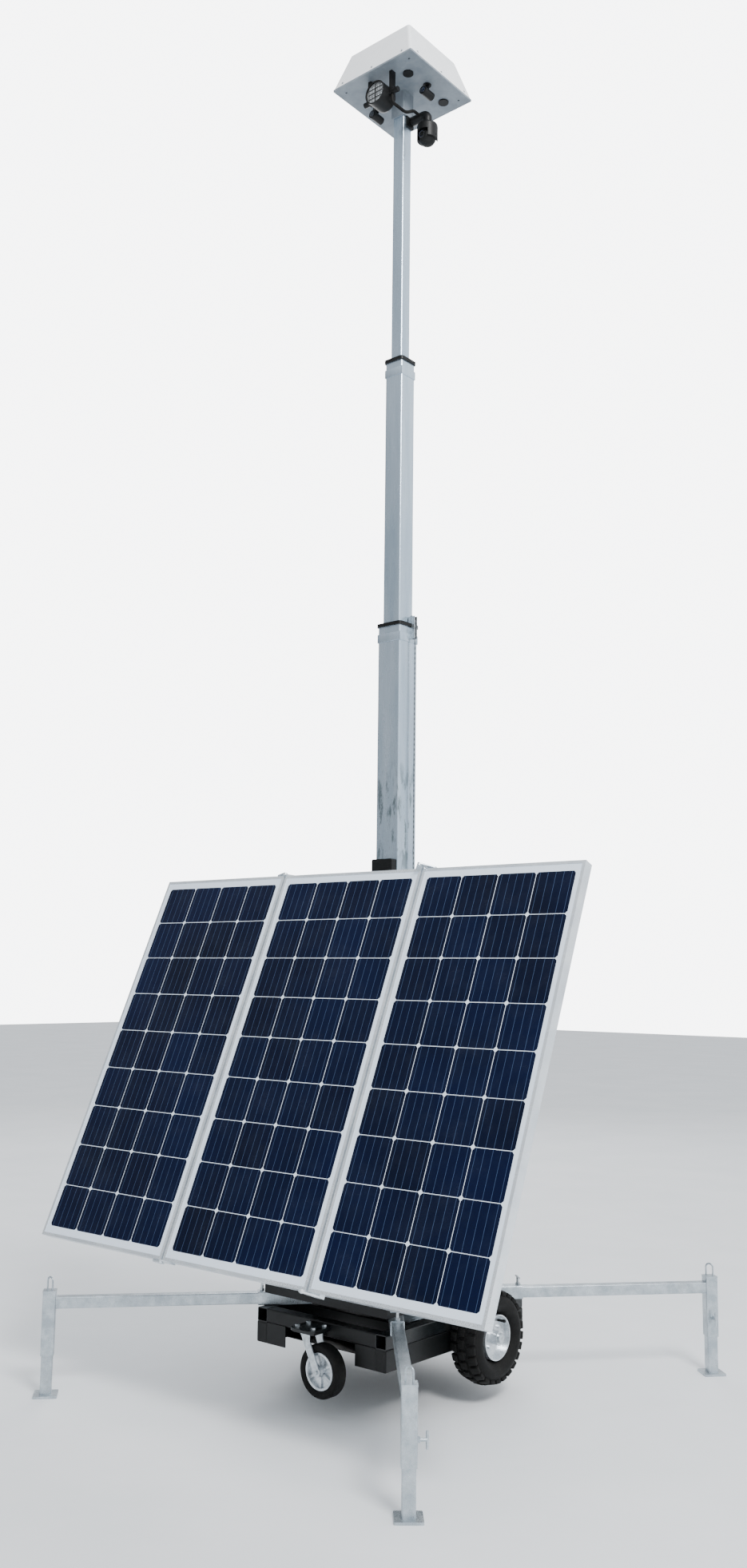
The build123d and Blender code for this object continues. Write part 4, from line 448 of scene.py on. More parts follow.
GALVANISED = Finish("galvanised_steel", "#c6ced3", "#a2acb3", "#75736c", 0.33, 0.85, grain_mm=2.5,
                    grain_depth_mm=0.03, patch_mm=45, grime_amount=0.25, spangle_mm=12)
MAST_ALUMINIUM = Finish("extruded_aluminium", "#cbd9e5", "#a9bccc", "#7d8fa1", 0.26, 0.85, spread=0.02,
                        grain_mm=14, grain_depth_mm=0.01, patch_mm=110, stretch=(1.0, 1.0, 0.12),
                        grime_amount=0.35)
SCUFFED_MAST = Finish("scuffed_extruded_aluminium", "#cbd9e5", "#a9bccc", "#7d8fa1", 0.28, 0.85,
                      spread=0.02, grain_mm=14, grain_depth_mm=0.01, patch_mm=110,
                      stretch=(1.0, 1.0, 0.12), grime_amount=0.35, scuffs_between=(1.9, 2.4))
FRAME_ALUMINIUM = Finish("anodised_aluminium", "#eef4f8", "#dbe3ea", "#9ba1a6", 0.3, 0.7, grain_mm=1.5,
                         grain_depth_mm=0.015, patch_mm=80, grime_amount=0.18)
ZINC = Finish("zinc_plated_steel", "#cdd3d7", "#a4abaf", "#5b5a52", 0.28, 0.9, grain_mm=1.5,
              grain_depth_mm=0.02, patch_mm=18, grime_amount=0.3)
RIM_PAINT = Finish("silver_wheel_paint", "#dde2e6", "#b7bdc2", "#5d5a54", 0.28, 0.75, grain_mm=1.2,
                   grain_depth_mm=0.02, patch_mm=30, grime_amount=0.45)
# Black powder coat. On the galvanised cross tubes it is painted shade under the array; on the side rails it
# is partly black paint and partly painted shade.
BLACK_POWDER_COAT_AND_PAINTED_SHADE = Finish("black_powder_coat_and_painted_shade", "#050607", "#0c0e0f", "#2e2e2b", 0.42, grain_mm=1.3,
                      grain_depth_mm=0.06, patch_mm=90, grime_amount=0.16, specular=0.3)
BLACK_PLASTIC = Finish("moulded_black_plastic", "#040505", "#0b0c0d", "#26282a", 0.45, ior=1.49,
                       grain_mm=0.9, grain_depth_mm=0.05, patch_mm=40, grime_amount=0.15, specular=0.3)
# Dark painted steel on the caster tongue; on the galvanised stow tubes it is painted shade under the array.
DARK_STEEL_AND_PAINTED_SHADE = Finish("dark_painted_steel_and_painted_shade", "#14191b", "#0c0f11", "#3f3d37", 0.3, 0.2, grain_mm=1.4,
                    grain_depth_mm=0.05, patch_mm=30, grime_amount=0.4)
RUBBER = Finish("vulcanised_rubber", "#060606", "#0d0d0c", "#3a3833", 0.72, ior=1.52, grain_mm=1.1,
                grain_depth_mm=0.08, patch_mm=35, grime_amount=0.22, specular=0.2)
WHITE_SHELL = Finish("white_asa_shell", "#fcfdfe", "#f5f8fa", "#d8dcdc", 0.3, ior=1.52, grain_mm=1.6,
                     grain_depth_mm=0.03, patch_mm=120, grime_amount=0.15, coat=0.3)
GREY_PLATE = Finish("grey_coated_plate", "#8a939b", "#767f88", "#4e555a", 0.45, 0.15, grain_mm=1.2,
                    grain_depth_mm=0.04, patch_mm=70, grime_amount=0.25)
REFLECTOR = Finish("vacuum_metallised_reflector", "#f2f5f7", "#cfd6da", "#9aa0a4", 0.12, 0.95,
                   grain_mm=6, grain_depth_mm=0.2, patch_mm=12, grime_amount=0.05)
CAMERA_GLASS = Finish("coated_camera_glass", "#05070c", "#101a30", "#1b1f26", 0.06, ior=1.7,
                      grain_mm=4, grain_depth_mm=0.005, patch_mm=20, grime_amount=0.05, coat=1.0)
BATTERY_CASE = Finish("moulded_battery_case", "#2a2d30", "#1f2224", "#55534c", 0.5, grain_mm=1.2,
                   grain_depth_mm=0.05, patch_mm=60, grime_amount=0.25)
CLEAR = ClearFinish()
ROPE = WireRopeFinish()


class Paints:
    """Materials made once and shared."""

    def __init__(self) -> None:
        """Start with none."""
        self.made: dict[str, bpy.types.Material] = {}

    def get(self, finish: Any) -> bpy.types.Material:
        """Find the material of a finish, or make it at its first use.

        Args:
            finish: the finish.

        Returns:
            Its material.
        """
        if finish.name not in self.made:
            self.made[finish.name] = finish.build()
        return self.made[finish.name]


PAINTS = Paints()


# ---- bench tools -----------------------------------------------------------------------
def clear_selection() -> None:
    """Leave edit mode and deselect everything."""
    if bpy.context.mode != "OBJECT":
        bpy.ops.object.mode_set(mode="OBJECT")
    bpy.ops.object.select_all(action="DESELECT")


def pick(piece: bpy.types.Object) -> None:
    """Make a piece the only selected and active one.

    Args:
        piece: the piece.
    """
    clear_selection()
    piece.select_set(True)
    bpy.context.view_layer.objects.active = piece


def edit_faces(piece: bpy.types.Object, test: Callable[[bpy.types.MeshPolygon], bool]) -> None:
    """Enter edit mode with only some faces selected.

    Args:
        piece: the piece to edit.
        test: says whether a face is selected.
    """
    pick(piece)
    bpy.ops.object.mode_set(mode="EDIT")
    bpy.ops.mesh.select_mode(type="FACE")
    bpy.ops.mesh.select_all(action="DESELECT")
    bpy.ops.object.mode_set(mode="OBJECT")
    for polygon in piece.data.polygons:
        polygon.select = test(polygon)
    bpy.ops.object.mode_set(mode="EDIT")


def settle(piece: bpy.types.Object) -> None:
    """Put a piece's place and turn into its mesh, with its normals outward.

    Args:
        piece: the piece.
    """
    pick(piece)
    bpy.ops.object.transform_apply(location=True, rotation=True, scale=True)
    bpy.ops.object.mode_set(mode="EDIT")
    bpy.ops.mesh.select_all(action="SELECT")
    bpy.ops.mesh.normals_make_consistent(inside=False)
    bpy.ops.object.mode_set(mode="OBJECT")


def bevel(piece: bpy.types.Object, width: float, segments: int = 2) -> None:
    """Round a piece's sharp edges.

    Args:
        piece: the piece.
        width: width of the rounding.
        segments: steps across it.
    """
    pick(piece)
    modifier = piece.modifiers.new("edge", "BEVEL")
    modifier.width = width
    modifier.segments = segments
    modifier.limit_method = "ANGLE"
    bpy.ops.object.modifier_apply(modifier=modifier.name)


def block(centre: Iterable[float], size: Iterable[float], edge: float = 0.002) -> bpy.types.Object:
    """A bevelled block.

    Args:
        centre: its middle.
        size: its three sides.
        edge: bevel width.

    Returns:
        The block, with its place in its mesh.
    """
    clear_selection()
    bpy.ops.mesh.primitive_cube_add(size=1, location=tuple(centre), scale=tuple(size))
    piece = bpy.context.active_object
    settle(piece)
    bevel(piece, edge)
    return piece


def disc(centre: Iterable[float], radius: float, depth: float, axis: Axis, edge: float = 0.001,
         sides: int = 32) -> bpy.types.Object:
    """A bevelled round or polygonal slug.

    Args:
        centre: its middle.
        radius: its radius.
        depth: its length.
        axis: the axis it lies along.
        edge: bevel width.
        sides: sides of the round.

    Returns:
        The slug, with its place in its mesh.
    """
    clear_selection()
    bpy.ops.mesh.primitive_cylinder_add(vertices=sides, radius=radius, depth=depth,
                                        location=tuple(centre), rotation=axis.value)
    piece = bpy.context.active_object
    settle(piece)
    bevel(piece, edge)
    return piece


def copy_turned(piece: bpy.types.Object, centre: Vector, axis: Vector, angle: float) -> bpy.types.Object:
    """Copy a piece, turned about an axis, with its own mesh.

    Args:
        piece: the piece to copy.
        centre: a point on the axis.
        axis: direction of the axis.
        angle: turn in radians.

    Returns:
        The copy.
    """
    twin = piece.copy()
    twin.data = piece.data.copy()
    bpy.context.scene.collection.objects.link(twin)
    turn = Matrix.Translation(centre) @ Matrix.Rotation(angle, 4, axis) @ Matrix.Translation(-centre)
    twin.data.transform(turn)
    return twin


def joined(pieces: list[bpy.types.Object]) -> bpy.types.Object:
    """Join pieces into the first of them.

    Args:
        pieces: the pieces, which are used up.

    Returns:
        The joined piece.
    """
    clear_selection()
    for piece in pieces:
        piece.select_set(True)
    bpy.context.view_layer.objects.active = pieces[0]
    bpy.ops.object.join()
    return pieces[0]


def hand_over(piece: bpy.types.Object, name: str, body: str, finish: Any,
              replaces: tuple[str, ...] = ()) -> bpy.types.Object:
    """Name, paint and hang a finished piece on its body.

    Args:
        piece: the mesh.
        name: its name in the model.
        body: the CAD body it rides on.
        finish: the finish it is painted with.
        replaces: CAD nodes that it stands for.

    Returns:
        The piece.
    """
    pick(piece)
    bpy.ops.object.shade_smooth_by_angle(angle=math.radians(32))
    piece.name = name
    piece.data.materials.clear()
    piece.data.materials.append(PAINTS.get(finish))
    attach(piece, body)
    if replaces:
        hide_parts(*replaces)
    LOG.info("%s on %s, %d faces", name, body, len(piece.data.polygons))
    return piece


def middle(node: str) -> tuple[Vector, Vector]:
    """Box of a CAD node.

    Args:
        node: name of the node.

    Returns:
        Its centre and its size.
    """
    low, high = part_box(node)
    return (low + high) / 2, high - low


# ---- sub-assemblies --------------------------------------------------------------------
@dataclass
class CadSkins:
    """Finishes laid on the CAD nodes that keep their shape."""

    nodes: dict[str, bpy.types.Object]
    finishes: dict[str, Finish] = field(default_factory=lambda: {
        # Painted shade under the array: the galvanised cross tubes and stow tubes are laid in black and
        # dark steel, and the side rails' black is partly paint, partly painted shade.
        "side_rails": BLACK_POWDER_COAT_AND_PAINTED_SHADE, "cross_tubes": BLACK_POWDER_COAT_AND_PAINTED_SHADE, "stow_tubes": DARK_STEEL_AND_PAINTED_SHADE,
        "belly_pan": BLACK_POWDER_COAT_AND_PAINTED_SHADE, "mast_base": GALVANISED, "caster_tongue": DARK_STEEL_AND_PAINTED_SHADE,
        "rear_axle": ZINC, "frame_fasteners": ZINC, "arm_receivers": GALVANISED,
        "battery_box": BLACK_POWDER_COAT_AND_PAINTED_SHADE, "battery_lid": BLACK_POWDER_COAT_AND_PAINTED_SHADE, "batteries": BATTERY_CASE,
        "control_cabinet": BLACK_POWDER_COAT_AND_PAINTED_SHADE, "cabinet_door": BLACK_POWDER_COAT_AND_PAINTED_SHADE,
        "charge_controller": FRAME_ALUMINIUM, "mast_lower": SCUFFED_MAST,
        "mast_lower_guides": BLACK_PLASTIC, "pulley_bracket": ZINC, "pulley_sheave": BLACK_PLASTIC,
        "winch_frame": ZINC, "winch_drum": ZINC, "lifting_rope": ROPE, "mast_brackets": GALVANISED,
        "mast_middle": MAST_ALUMINIUM, "mast_middle_guides": BLACK_PLASTIC,
        "mast_upper": MAST_ALUMINIUM, "mast_upper_pads": BLACK_PLASTIC, "head_plate": GREY_PLATE,
        "head_cover": WHITE_SHELL, "head_brackets": BLACK_PLASTIC, "head_fittings": BLACK_PLASTIC,
        "head_cable": RUBBER, "floodlight_body": BLACK_PLASTIC, "floodlight_lens": CLEAR,
        "ptz_body": BLACK_PLASTIC, "ptz_ball": BLACK_PLASTIC, "array_carrier": GALVANISED,
        "centre_frame": FRAME_ALUMINIUM, "left_frame": FRAME_ALUMINIUM, "right_frame": FRAME_ALUMINIUM,
        "strut_tube": GALVANISED, "strut_rod": ZINC, "caster_fork": ZINC, "caster_tyre": RUBBER,
        "caster_rim": RIM_PAINT, "left_tyre": RUBBER, "right_tyre": RUBBER, "left_rim": RIM_PAINT,
        "right_rim": RIM_PAINT})

    def dress(self) -> None:
        """Lay each finish on its node."""
        for corner in CORNERS:
            self.finishes[corner + "_arm"] = GALVANISED
            self.finishes[corner + "_leg"] = GALVANISED
        for name, finish in self.finishes.items():
            self.paint(name, finish)

    def paint(self, name: str, finish: Any) -> None:
        """Lay one finish on one node.

        Args:
            name: name of the node.
            finish: the finish.
        """
        mesh = self.nodes[name].data
        mesh.materials.clear()
        mesh.materials.append(PAINTS.get(finish))
        LOG.info("%s in %s", name, finish.name)


@dataclass
class SolarArray:
    """Cell patterns on the three laminates and junction boxes behind them."""

    nodes: dict[str, bpy.types.Object]
    joints: list[dict[str, Any]]
    end_margin: float = 33 * MM
    box_size: tuple[float, float, float] = (0.116, 0.026, 0.086)
    box_drop: float = 0.147
    box_stand: float = 0.011
    lid_rib: tuple[float, float, float] = (0.006, 0.003, 0.060)
    rib_pitch: float = 0.014
    lead_spread: float = 0.030

    def up_slope(self) -> Vector:
        """Find the direction up the slope of the glass, from the wings' hinge axis.

        Returns:
            The direction, one long.
        """
        return Vector(next(j for j in self.joints if j["name"] == "left_wing_fold")["axis"]).normalized()

    def dress(self) -> None:
        """Lay the cells on every laminate and add what sits behind it."""
        skins = CadSkins(self.nodes, {})
        for side in ("centre", "left", "right"):
            node = side + "_laminate"
            slope = self.up_slope()
            centre = middle(node)[0]
            top = max(vertex.co.dot(slope) for vertex in self.nodes[node].data.vertices)
            finish = CellFinish(side + "_cells_under_glass", centre.x, tuple(slope), top - self.end_margin)
            skins.paint(node, finish)
            self.junction_box(side, slope, top, centre.x)

    def junction_box(self, side: str, slope: Vector, top: float, x: float) -> None:
        """Black junction box with a ribbed lid and two lead stubs behind a laminate.

        Args:
            side: centre, left or right.
            slope: direction up the glass.
            top: height of the laminate's top edge along the slope.
            x: middle of the module.
        """
        corners = self.nodes[side + "_laminate"].data.vertices
        backward = Vector((0, slope.z, -slope.y))
        back = max(vertex.co.dot(backward) for vertex in corners)
        place = slope * (top - self.box_drop) + backward * (back - self.box_stand)
        turn = Matrix((Vector((1, 0, 0)), backward, slope)).transposed().to_4x4()
        parts = [block((0, 0, 0), self.box_size, 0.004)]
        for step in range(-3, 4):
            parts.append(block((step * self.rib_pitch, self.box_size[1] / 2, 0), self.lid_rib, 0.0008))
        for lead in (-self.lead_spread, self.lead_spread):
            parts.append(disc((lead, 0, -0.052), 0.008, 0.024, Axis.Z, 0.002))
            parts.append(disc((lead, 0, -0.085), 0.0032, 0.06, Axis.Z, 0.0008))
        piece = joined(parts)
        piece.data.transform(Matrix.Translation(place + Vector((x, 0, 0))) @ turn)
        body = "array" if side == "centre" else side + "_wing"
        hand_over(piece, side + "_junction_box", body, BLACK_PLASTIC)


@dataclass
class RearWheel:
    """Treaded low-pressure tyre with a pressed rim."""

    side: str
    sign: float
    block_count: int = 26
    block_height: float = 0.0075
    block_length: float = 0.027
    block_root: float = 0.006
    row_offset: float = 0.036
    shoulder_width: float = 0.030
    shoulder_drop: float = 0.0075
    shoulder_lean: float = math.radians(14)
    middle_width: float = 0.026
    middle_drop: float = 0.0005
    cap_radius: float = 0.017
    cap_gap: float = 0.0012
    valve_place: tuple[float, float, float] = (0.036, 0.03, 0.052)
    valve_length: float = 0.034

    def dress(self) -> None:
        """Build the tyre, its tread and the hub cap."""
        centre, size = middle(self.side + "_tyre")
        rim_radius = middle(self.side + "_rim")[1].z / 2
        self.tyre(centre, size, rim_radius)
        self.hub_cap(centre)

    def tyre(self, centre: Vector, size: Vector, bead_radius: float) -> None:
        """Bulging carcass with three staggered rows of tread blocks.

        Args:
            centre: middle of the tyre.
            size: its box.
            bead_radius: radius at the rim.
        """
        crown = size.z / 2 - self.block_height * 0.6
        section = (crown - bead_radius) / 2
        clear_selection()
        bpy.ops.mesh.primitive_torus_add(location=tuple(centre), rotation=Axis.X.value, major_segments=96,
                                         minor_segments=28, major_radius=crown - section,
                                         minor_radius=section)
        carcass = bpy.context.active_object
        carcass.scale.z = size.x / 2 / section
        settle(carcass)
        parts = [carcass]
        pitch = 2 * math.pi / self.block_count
        top = centre.z + size.z / 2 - self.block_height / 2
        for row in (-1, 0, 1):
            offset = row * self.row_offset
            width = self.shoulder_width if row else self.middle_width
            drop = self.shoulder_drop if row else self.middle_drop
            shift = 0.0 if row else 0.5
            lug = block((centre.x + offset, centre.y, top - drop),
                        (width, self.block_length, self.block_height + self.block_root), 0.002)
            if row:
                lug = self.tilted(lug, centre, offset, size)
            for number in range(self.block_count):
                parts.append(copy_turned(lug, centre, Vector((1, 0, 0)), (number + shift) * pitch))
            bpy.data.objects.remove(lug)
        tyre = joined(parts)
        hand_over(tyre, self.side + "_treaded_tyre", self.side + "_wheel", RUBBER,
                  (self.side + "_tyre",))

    def tilted(self, lug: bpy.types.Object, centre: Vector, offset: float,
               size: Vector) -> bpy.types.Object:
        """Shoulder lug leaned outward to follow the crown.

        Args:
            lug: the upright lug, which is used up.
            centre: middle of the tyre.
            offset: how far along the axle the lug stands.
            size: the tyre's box.

        Returns:
            The leaned lug.
        """
        pivot = Vector((centre.x + offset, centre.y, centre.z + size.z / 2 - 0.01))
        leaned = copy_turned(lug, pivot, Vector((0, 1, 0)), math.copysign(self.shoulder_lean, offset))
        bpy.data.objects.remove(lug)
        return leaned

    def hub_cap(self, centre: Vector) -> None:
        """Domed cap over the axle's end and a valve stem in the rim.

        Args:
            centre: middle of the wheel.
        """
        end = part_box("rear_axle")[0 if self.sign < 0 else 1].x
        cap = disc((end + self.sign * self.cap_gap, centre.y, centre.z), self.cap_radius, 0.004, Axis.X,
                   0.0015)
        hand_over(cap, self.side + "_hub_cap", "chassis", ZINC)
        out, back, up = self.valve_place
        x = centre.x + self.sign * out
        y = centre.y + back
        z = centre.z + up
        neck = disc((x, y, z), 0.0045, self.valve_length, Axis.X, 0.001)
        tip = disc((x + self.sign * 0.016, y, z), 0.0058, 0.010, Axis.X, 0.0015, 8)
        stem = joined([neck, tip])
        hand_over(stem, self.side + "_valve", self.side + "_wheel", BLACK_PLASTIC)


@dataclass
class Caster:
    """Raised spokes of the front wheel."""

    spokes: int = 6
    spoke_size: tuple[float, float, float] = (0.012, 0.010, 0.040)
    spoke_out: float = 0.011
    spoke_middle: float = 0.036

    def dress(self) -> None:
        """Add the spokes on both faces of the rim."""
        centre = middle("caster_rim")[0]
        parts = []
        for face in (-1, 1):
            spoke = block((centre.x, centre.y + face * self.spoke_out, centre.z + self.spoke_middle),
                          self.spoke_size, 0.003)
            for number in range(self.spokes):
                parts.append(copy_turned(spoke, centre, Vector((0, 1, 0)), number * math.tau / self.spokes))
            bpy.data.objects.remove(spoke)
        hand_over(joined(parts), "caster_spokes", "caster_wheel", RIM_PAINT)


@dataclass
class BoxFittings:
    """Latches, handles, vents and plugs on the boxes and rails."""

    latch_spread: float = 0.17
    latch_plate: tuple[float, float, float] = (0.034, 0.006, 0.050)
    latch_hook: tuple[float, float, float] = (0.022, 0.006, 0.040)
    handle_plate: tuple[float, float, float] = (0.004, 0.130, 0.022)
    handle_grip: float = 0.11
    handle_reach: float = 0.05
    handle_drop: float = 0.085
    louvre: tuple[float, float, float] = (0.006, 0.120, 0.010)
    louvre_rows: int = 6
    louvre_pitch: float = 0.022
    louvre_drop: float = 0.09
    plug: tuple[float, float, float] = (0.046, 0.0032, 0.068)
    plug_rim: float = 0.006
    plug_inset: float = 0.025

    def dress(self) -> None:
        """Fit out both boxes and close the rails' ends."""
        self.latches()
        self.side_handles()
        self.vents()
        self.rail_plugs()

    def latches(self) -> None:
        """Two draw latches on the front of the battery box."""
        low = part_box("battery_box")[0]
        lid_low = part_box("battery_lid")[0]
        parts = []
        seam = lid_low.z
        for x in (-self.latch_spread, self.latch_spread):
            parts.append(block((x, low.y - 0.003, seam - 0.035), self.latch_plate, 0.0015))
            parts.append(block((x, low.y - 0.008, seam - 0.030), self.latch_hook, 0.002))
            parts.append(disc((x, low.y - 0.008, seam - 0.008), 0.004, 0.03, Axis.X, 0.001))
        hand_over(joined(parts), "battery_box_latches", "chassis", ZINC)

    def side_handles(self) -> None:
        """Folded drop handles on the sides of the battery box."""
        low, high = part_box("battery_box")
        y = (low.y + high.y) / 2
        z = high.z - self.handle_drop
        parts = []
        for x in (low.x, high.x):
            out = math.copysign(0.006, x)
            parts.append(block((x + out / 3, y, z + 0.022), self.handle_plate, 0.001))
            for side in (-self.handle_reach, self.handle_reach):
                parts.append(disc((x + out, y + side, z), 0.0035, 0.05, Axis.Z, 0.001))
            parts.append(disc((x + out, y, z - 0.024), 0.006, self.handle_grip, Axis.Y, 0.0015))
        hand_over(joined(parts), "battery_box_handles", "chassis", ZINC)

    def vents(self) -> None:
        """Pressed louvres on both sides of the control cabinet."""
        low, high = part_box("control_cabinet")
        side_x = high.x
        y = (low.y + high.y) / 2 - 0.01
        parts = []
        for x in (-side_x, side_x):
            for row in range(self.louvre_rows):
                z = high.z - self.louvre_drop - row * self.louvre_pitch
                parts.append(block((x + math.copysign(0.002, x), y, z), self.louvre, 0.0025))
        hand_over(joined(parts), "cabinet_louvres", "chassis", BLACK_POWDER_COAT_AND_PAINTED_SHADE)

    def rail_plugs(self) -> None:
        """Moulded plugs in the open ends of the side rails."""
        low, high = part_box("side_rails")
        z = (low.z + high.z) / 2
        parts = []
        for x in (low.x + self.plug_inset, high.x - self.plug_inset):
            for y in (low.y + 0.0008, high.y - 0.0008):
                plug = block((x, y, z), self.plug, 0.001)
                edit_faces(plug, lambda face: abs(face.normal.y) > 0.99)
                bpy.ops.mesh.inset(thickness=self.plug_rim, depth=-0.001)
                bpy.ops.object.mode_set(mode="OBJECT")
                parts.append(plug)
        hand_over(joined(parts), "rail_end_plugs", "chassis", BLACK_PLASTIC)


@dataclass
class MastBands:
    """Pressed aluminium bands round the tops of the two outer stages."""

    height: float = 0.034
    drop: float = 0.052
    sheet: float = 0.0015

    def dress(self) -> None:
        """Wrap a band round each stage, a little under its collar."""
        for node in ("mast_lower", "mast_middle"):
            low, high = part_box(node)
            half = min(high.x, high.y, -low.x, -low.y)
            parts = []
            for sign in (-1, 1):
                reach = 2 * (half + self.sheet)
                z = high.z - self.drop
                offset = sign * (half + self.sheet / 2)
                parts.append(block((0, offset, z), (reach, self.sheet, self.height), 0.0004))
                parts.append(block((offset, 0, z), (self.sheet, reach, self.height), 0.0004))
            hand_over(joined(parts), node + "_band", node_body(node), MAST_ALUMINIUM)


def node_body(node: str) -> str:
    """Body that a mast stage belongs to.

    Args:
        node: mast_lower or mast_middle.

    Returns:
        The name of the body.
    """
    return "chassis" if node == "mast_lower" else node


@dataclass
class Head:
    """Reflector, fins, camera glass and cover screws on the mast head."""

    fins: int = 7
    fin_pitch: float = 0.007
    fin_start: float = -0.018
    fin_radius: float = 0.0502
    chip_steps: tuple[int, ...] = (-2, -1, 0, 1, 2)
    chip_pitch: float = 0.014
    chip_radius: float = 0.0055
    guard_post: tuple[float, float, float] = (0.004, 0.0012, 0.078)
    guard_bar: tuple[float, float, float] = (0.072, 0.0012, 0.003)
    guard_pitch: float = 0.020
    bezel_radius: float = 0.0150
    camera_fronts: tuple[tuple[float, float], ...] = ((0.128, 0.005), (-0.140, -0.005))
    camera_half_length: float = 0.031
    camera_drop: float = 0.008 + 0.039
    camera_window: float = 0.012
    screws_a_side: int = 3
    screw_pitch: float = 0.16
    screw_rise: float = 0.012
    screw_stand: float = 0.0042

    def dress(self) -> None:
        """Add every small piece of the head."""
        self.reflector()
        self.lamp_guard()
        self.lamp_fins()
        self.dome_lens()
        self.bullet_glass()
        self.cover_screws()

    def reflector(self) -> None:
        """Bright dished reflector with a grid of lamp chips behind the lens."""
        centre, size = middle("floodlight_lens")
        back_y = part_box("floodlight_lens")[1].y
        dish = disc((centre.x, back_y + 0.0012, centre.z), size.x / 2 - 0.001, 0.002, Axis.Y, 0.0004, 48)
        edit_faces(dish, lambda face: face.normal.y < -0.99)
        bpy.ops.mesh.inset(thickness=0.010)
        bpy.ops.mesh.inset(thickness=0.012, depth=-0.0006)
        bpy.ops.object.mode_set(mode="OBJECT")
        parts = [dish]
        for column in self.chip_steps:
            for row in self.chip_steps:
                place = (centre.x + column * self.chip_pitch, back_y - 0.0006,
                         centre.z + row * self.chip_pitch)
                parts.append(disc(place, self.chip_radius, 0.0026, Axis.Y, 0.001, 12))
        hand_over(joined(parts), "floodlight_reflector", "floodlight", REFLECTOR)

    def lamp_guard(self) -> None:
        """Black bars across the front of the lens."""
        low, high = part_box("floodlight_lens")
        centre = (low + high) / 2
        y = low.y - self.guard_post[1] / 2
        parts = [block((centre.x, y, centre.z), self.guard_post, 0.0003)]
        for step in (-1, 0, 1):
            parts.append(block((centre.x, y, centre.z + step * self.guard_pitch), self.guard_bar, 0.0003))
        hand_over(joined(parts), "floodlight_guard", "floodlight", BLACK_PLASTIC)

    def lamp_fins(self) -> None:
        """Cooling fins round the lamp's waist."""
        centre = middle("floodlight_body")[0]
        parts = []
        for number in range(self.fins):
            y = centre.y + self.fin_start + number * self.fin_pitch
            parts.append(disc((centre.x, y, centre.z), self.fin_radius, 0.003, Axis.Y, 0.0006, 64))
        hand_over(joined(parts), "floodlight_fins", "floodlight", BLACK_PLASTIC)

    def dome_lens(self) -> None:
        """Coated window and bezel on the turning camera's ball."""
        low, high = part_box("ptz_ball")
        centre = (low + high) / 2
        bezel = disc((centre.x, low.y + 0.0012, centre.z), self.bezel_radius, 0.003, Axis.Y, 0.001, 48)
        edit_faces(bezel, lambda face: face.normal.y < -0.99)
        bpy.ops.mesh.inset(thickness=0.003)
        bpy.ops.mesh.inset(thickness=0.002, depth=-0.0008)
        bpy.ops.object.mode_set(mode="OBJECT")
        hand_over(bezel, "dome_camera_window", "ptz_ball", CAMERA_GLASS)

    def bullet_glass(self) -> None:
        """Windows in the front of both bullet cameras."""
        parts = []
        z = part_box("head_cover")[0].z - self.camera_drop
        for x, y in self.camera_fronts:
            front = y - self.camera_half_length
            parts.append(disc((x, front, z), self.camera_window, 0.003, Axis.Y, 0.001, 32))
        hand_over(joined(parts), "bullet_camera_windows", "mast_upper", CAMERA_GLASS)

    def cover_screws(self) -> None:
        """Pan-head screws along the lower edge of the cover."""
        low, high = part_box("head_cover")
        z = low.z + self.screw_rise
        parts = []
        for turn in range(4):
            for number in range(self.screws_a_side):
                along = (number - 1) * self.screw_pitch
                screw = disc((along, -high.x + self.screw_stand, z), 0.005, 0.004, Axis.Y, 0.0012, 16)
                parts.append(copy_turned(screw, Vector((0, 0, 0)), Vector((0, 0, 1)), turn * math.pi / 2))
                bpy.data.objects.remove(screw)
        hand_over(joined(parts), "cover_screws", "mast_upper", ZINC)


@dataclass(frozen=True)
class Lamp:
    """One square area light: its place, its power in watts and the length of its side."""

    name: str
    place: tuple[float, float, float]
    power: float
    size: float


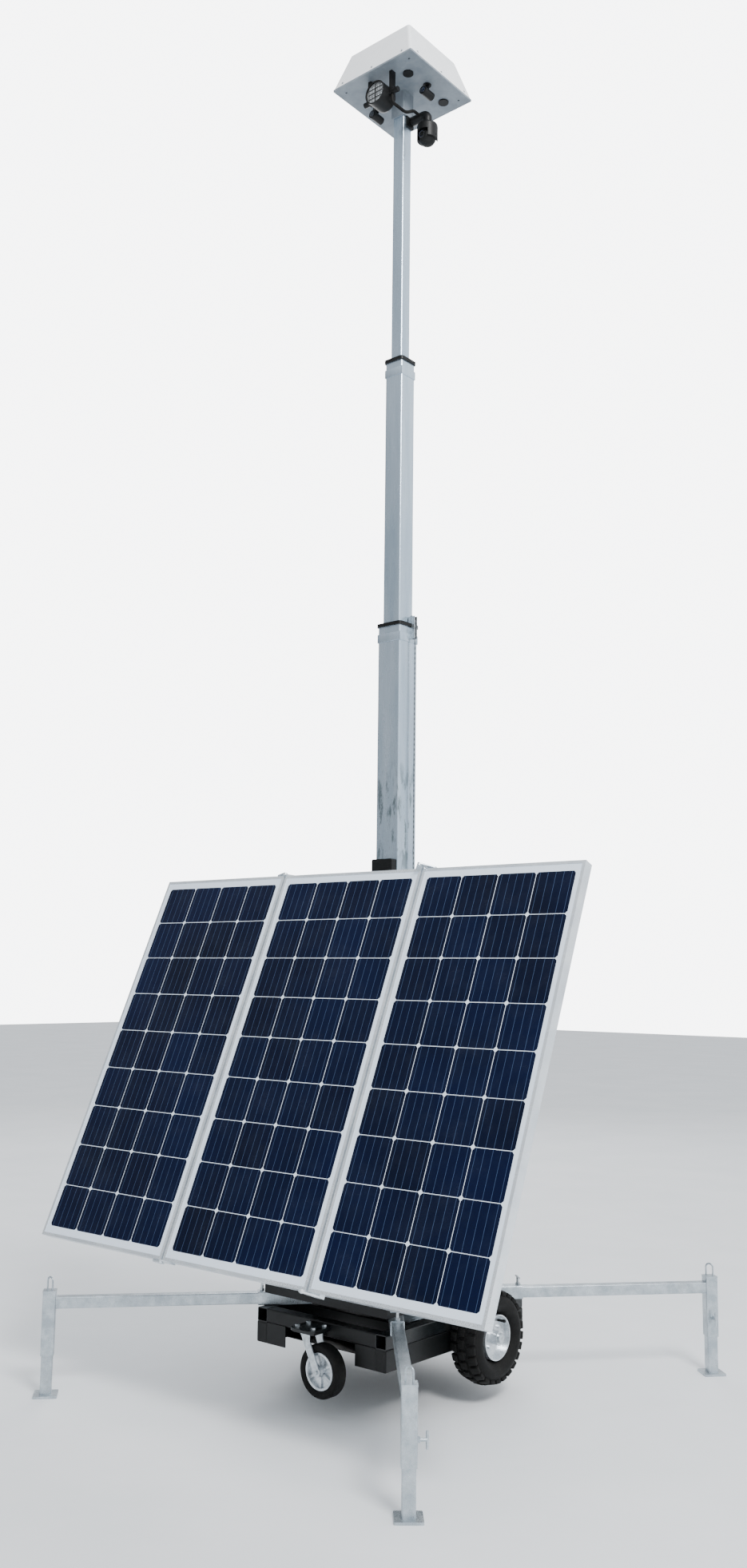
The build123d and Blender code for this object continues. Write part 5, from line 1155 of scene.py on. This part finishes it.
@dataclass
class Studio:
    """Floor, lights and camera."""

    camera_place: tuple[float, float, float] = (3.2998, -4.0628, 1.4969)
    azimuth: float = math.radians(40.07)
    climb: float = math.radians(8.17)
    roll: float = math.radians(0.67)
    lens_mm: float = 30.74
    bright_side: tuple[float, float, float] = (0.70, 0.30, 0.65)
    glow: tuple[float, float] = (0.3, 1.6)
    backdrop: float = 7.0
    floor_side: float = 60.0
    aim: tuple[float, float, float] = (0.0, 0.0, 2.0)
    key: Lamp = Lamp("key", (6.5, -3.5, 8.0), 980.0, 2.5)
    rim: Lamp = Lamp("rim", (-5.0, 6.0, 6.0), 260.0, 4.0)

    def set_up(self) -> None:
        """Make the stage and the camera."""
        self.floor()
        self.lights()
        self.camera()

    def floor(self) -> None:
        """Pale matt floor with a faint mottle."""
        clear_selection()
        bpy.ops.mesh.primitive_plane_add(size=self.floor_side, location=(0, 0, 0))
        floor = bpy.context.active_object
        floor.name = "studio_floor"
        finish = Finish("pale_floor", "#e9ebed", "#e3e6e8", "#dcdfe1", 0.8, grain_mm=8,
                        grain_depth_mm=0.05, patch_mm=700, grime_amount=0.1)
        floor.data.materials.append(PAINTS.get(finish))

    def lights(self) -> None:
        """Pale surround, one large soft key and a weaker light from behind."""
        world = bpy.data.worlds.new("studio")
        world.use_nodes = True
        tree = world.node_tree
        tree.nodes.clear()
        way = add_node(tree, "ShaderNodeTexCoord").outputs["Generated"]
        # Softly brighter overhead and towards the right, as under a bank of diffusers.
        glow = remap(tree, dot(tree, way, self.bright_side), (-0.8, 0.9), self.glow)
        around = add_node(tree, "ShaderNodeBackground", Color=linear("#f2f6fb"), Strength=glow)
        backdrop = add_node(tree, "ShaderNodeBackground", Color=linear("#fbfcfe"), Strength=self.backdrop)
        seen = add_node(tree, "ShaderNodeLightPath").outputs["Is Camera Ray"]
        mixed = add_node(tree, "ShaderNodeMixShader", i0=seen, i1=around.outputs[0], i2=backdrop.outputs[0])
        add_node(tree, "ShaderNodeOutputWorld", Surface=mixed.outputs[0])
        bpy.context.scene.world = world
        for lamp in (self.key, self.rim):
            data = bpy.data.lights.new(lamp.name, "AREA")
            data.energy = lamp.power
            data.size = lamp.size
            light = bpy.data.objects.new(lamp.name, data)
            light.location = lamp.place
            aim = Vector(self.aim) - Vector(lamp.place)
            light.rotation_euler = aim.to_track_quat("-Z", "Y").to_euler()
            bpy.context.scene.collection.objects.link(light)

    def camera(self) -> None:
        """Camera low on the right, looking a little upward."""
        data = bpy.data.cameras.new("view")
        data.lens = self.lens_mm
        data.sensor_width = 36.0
        camera = bpy.data.objects.new("view", data)
        look = Vector((-math.sin(self.azimuth) * math.cos(self.climb),
                       math.cos(self.azimuth) * math.cos(self.climb), math.sin(self.climb)))
        camera.rotation_mode = "QUATERNION"
        camera.rotation_quaternion = look.to_track_quat("-Z", "Y") @ Quaternion((0, 0, 1), self.roll)
        camera.location = self.camera_place
        bpy.context.scene.collection.objects.link(camera)
        bpy.context.scene.camera = camera


def main() -> None:
    """Build and dress every sub-assembly in order."""
    logging.basicConfig(level=logging.INFO, format="%(name)s: %(message)s")
    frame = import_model()
    CadSkins(frame["nodes"]).dress()
    SolarArray(frame["nodes"], frame["joints"]).dress()
    RearWheel("left", -1.0).dress()
    RearWheel("right", 1.0).dress()
    Caster().dress()
    BoxFittings().dress()
    MastBands().dress()
    Head().dress()
    Studio().set_up()
    bpy.context.view_layer.update()


if __name__ == "__main__":
    main()
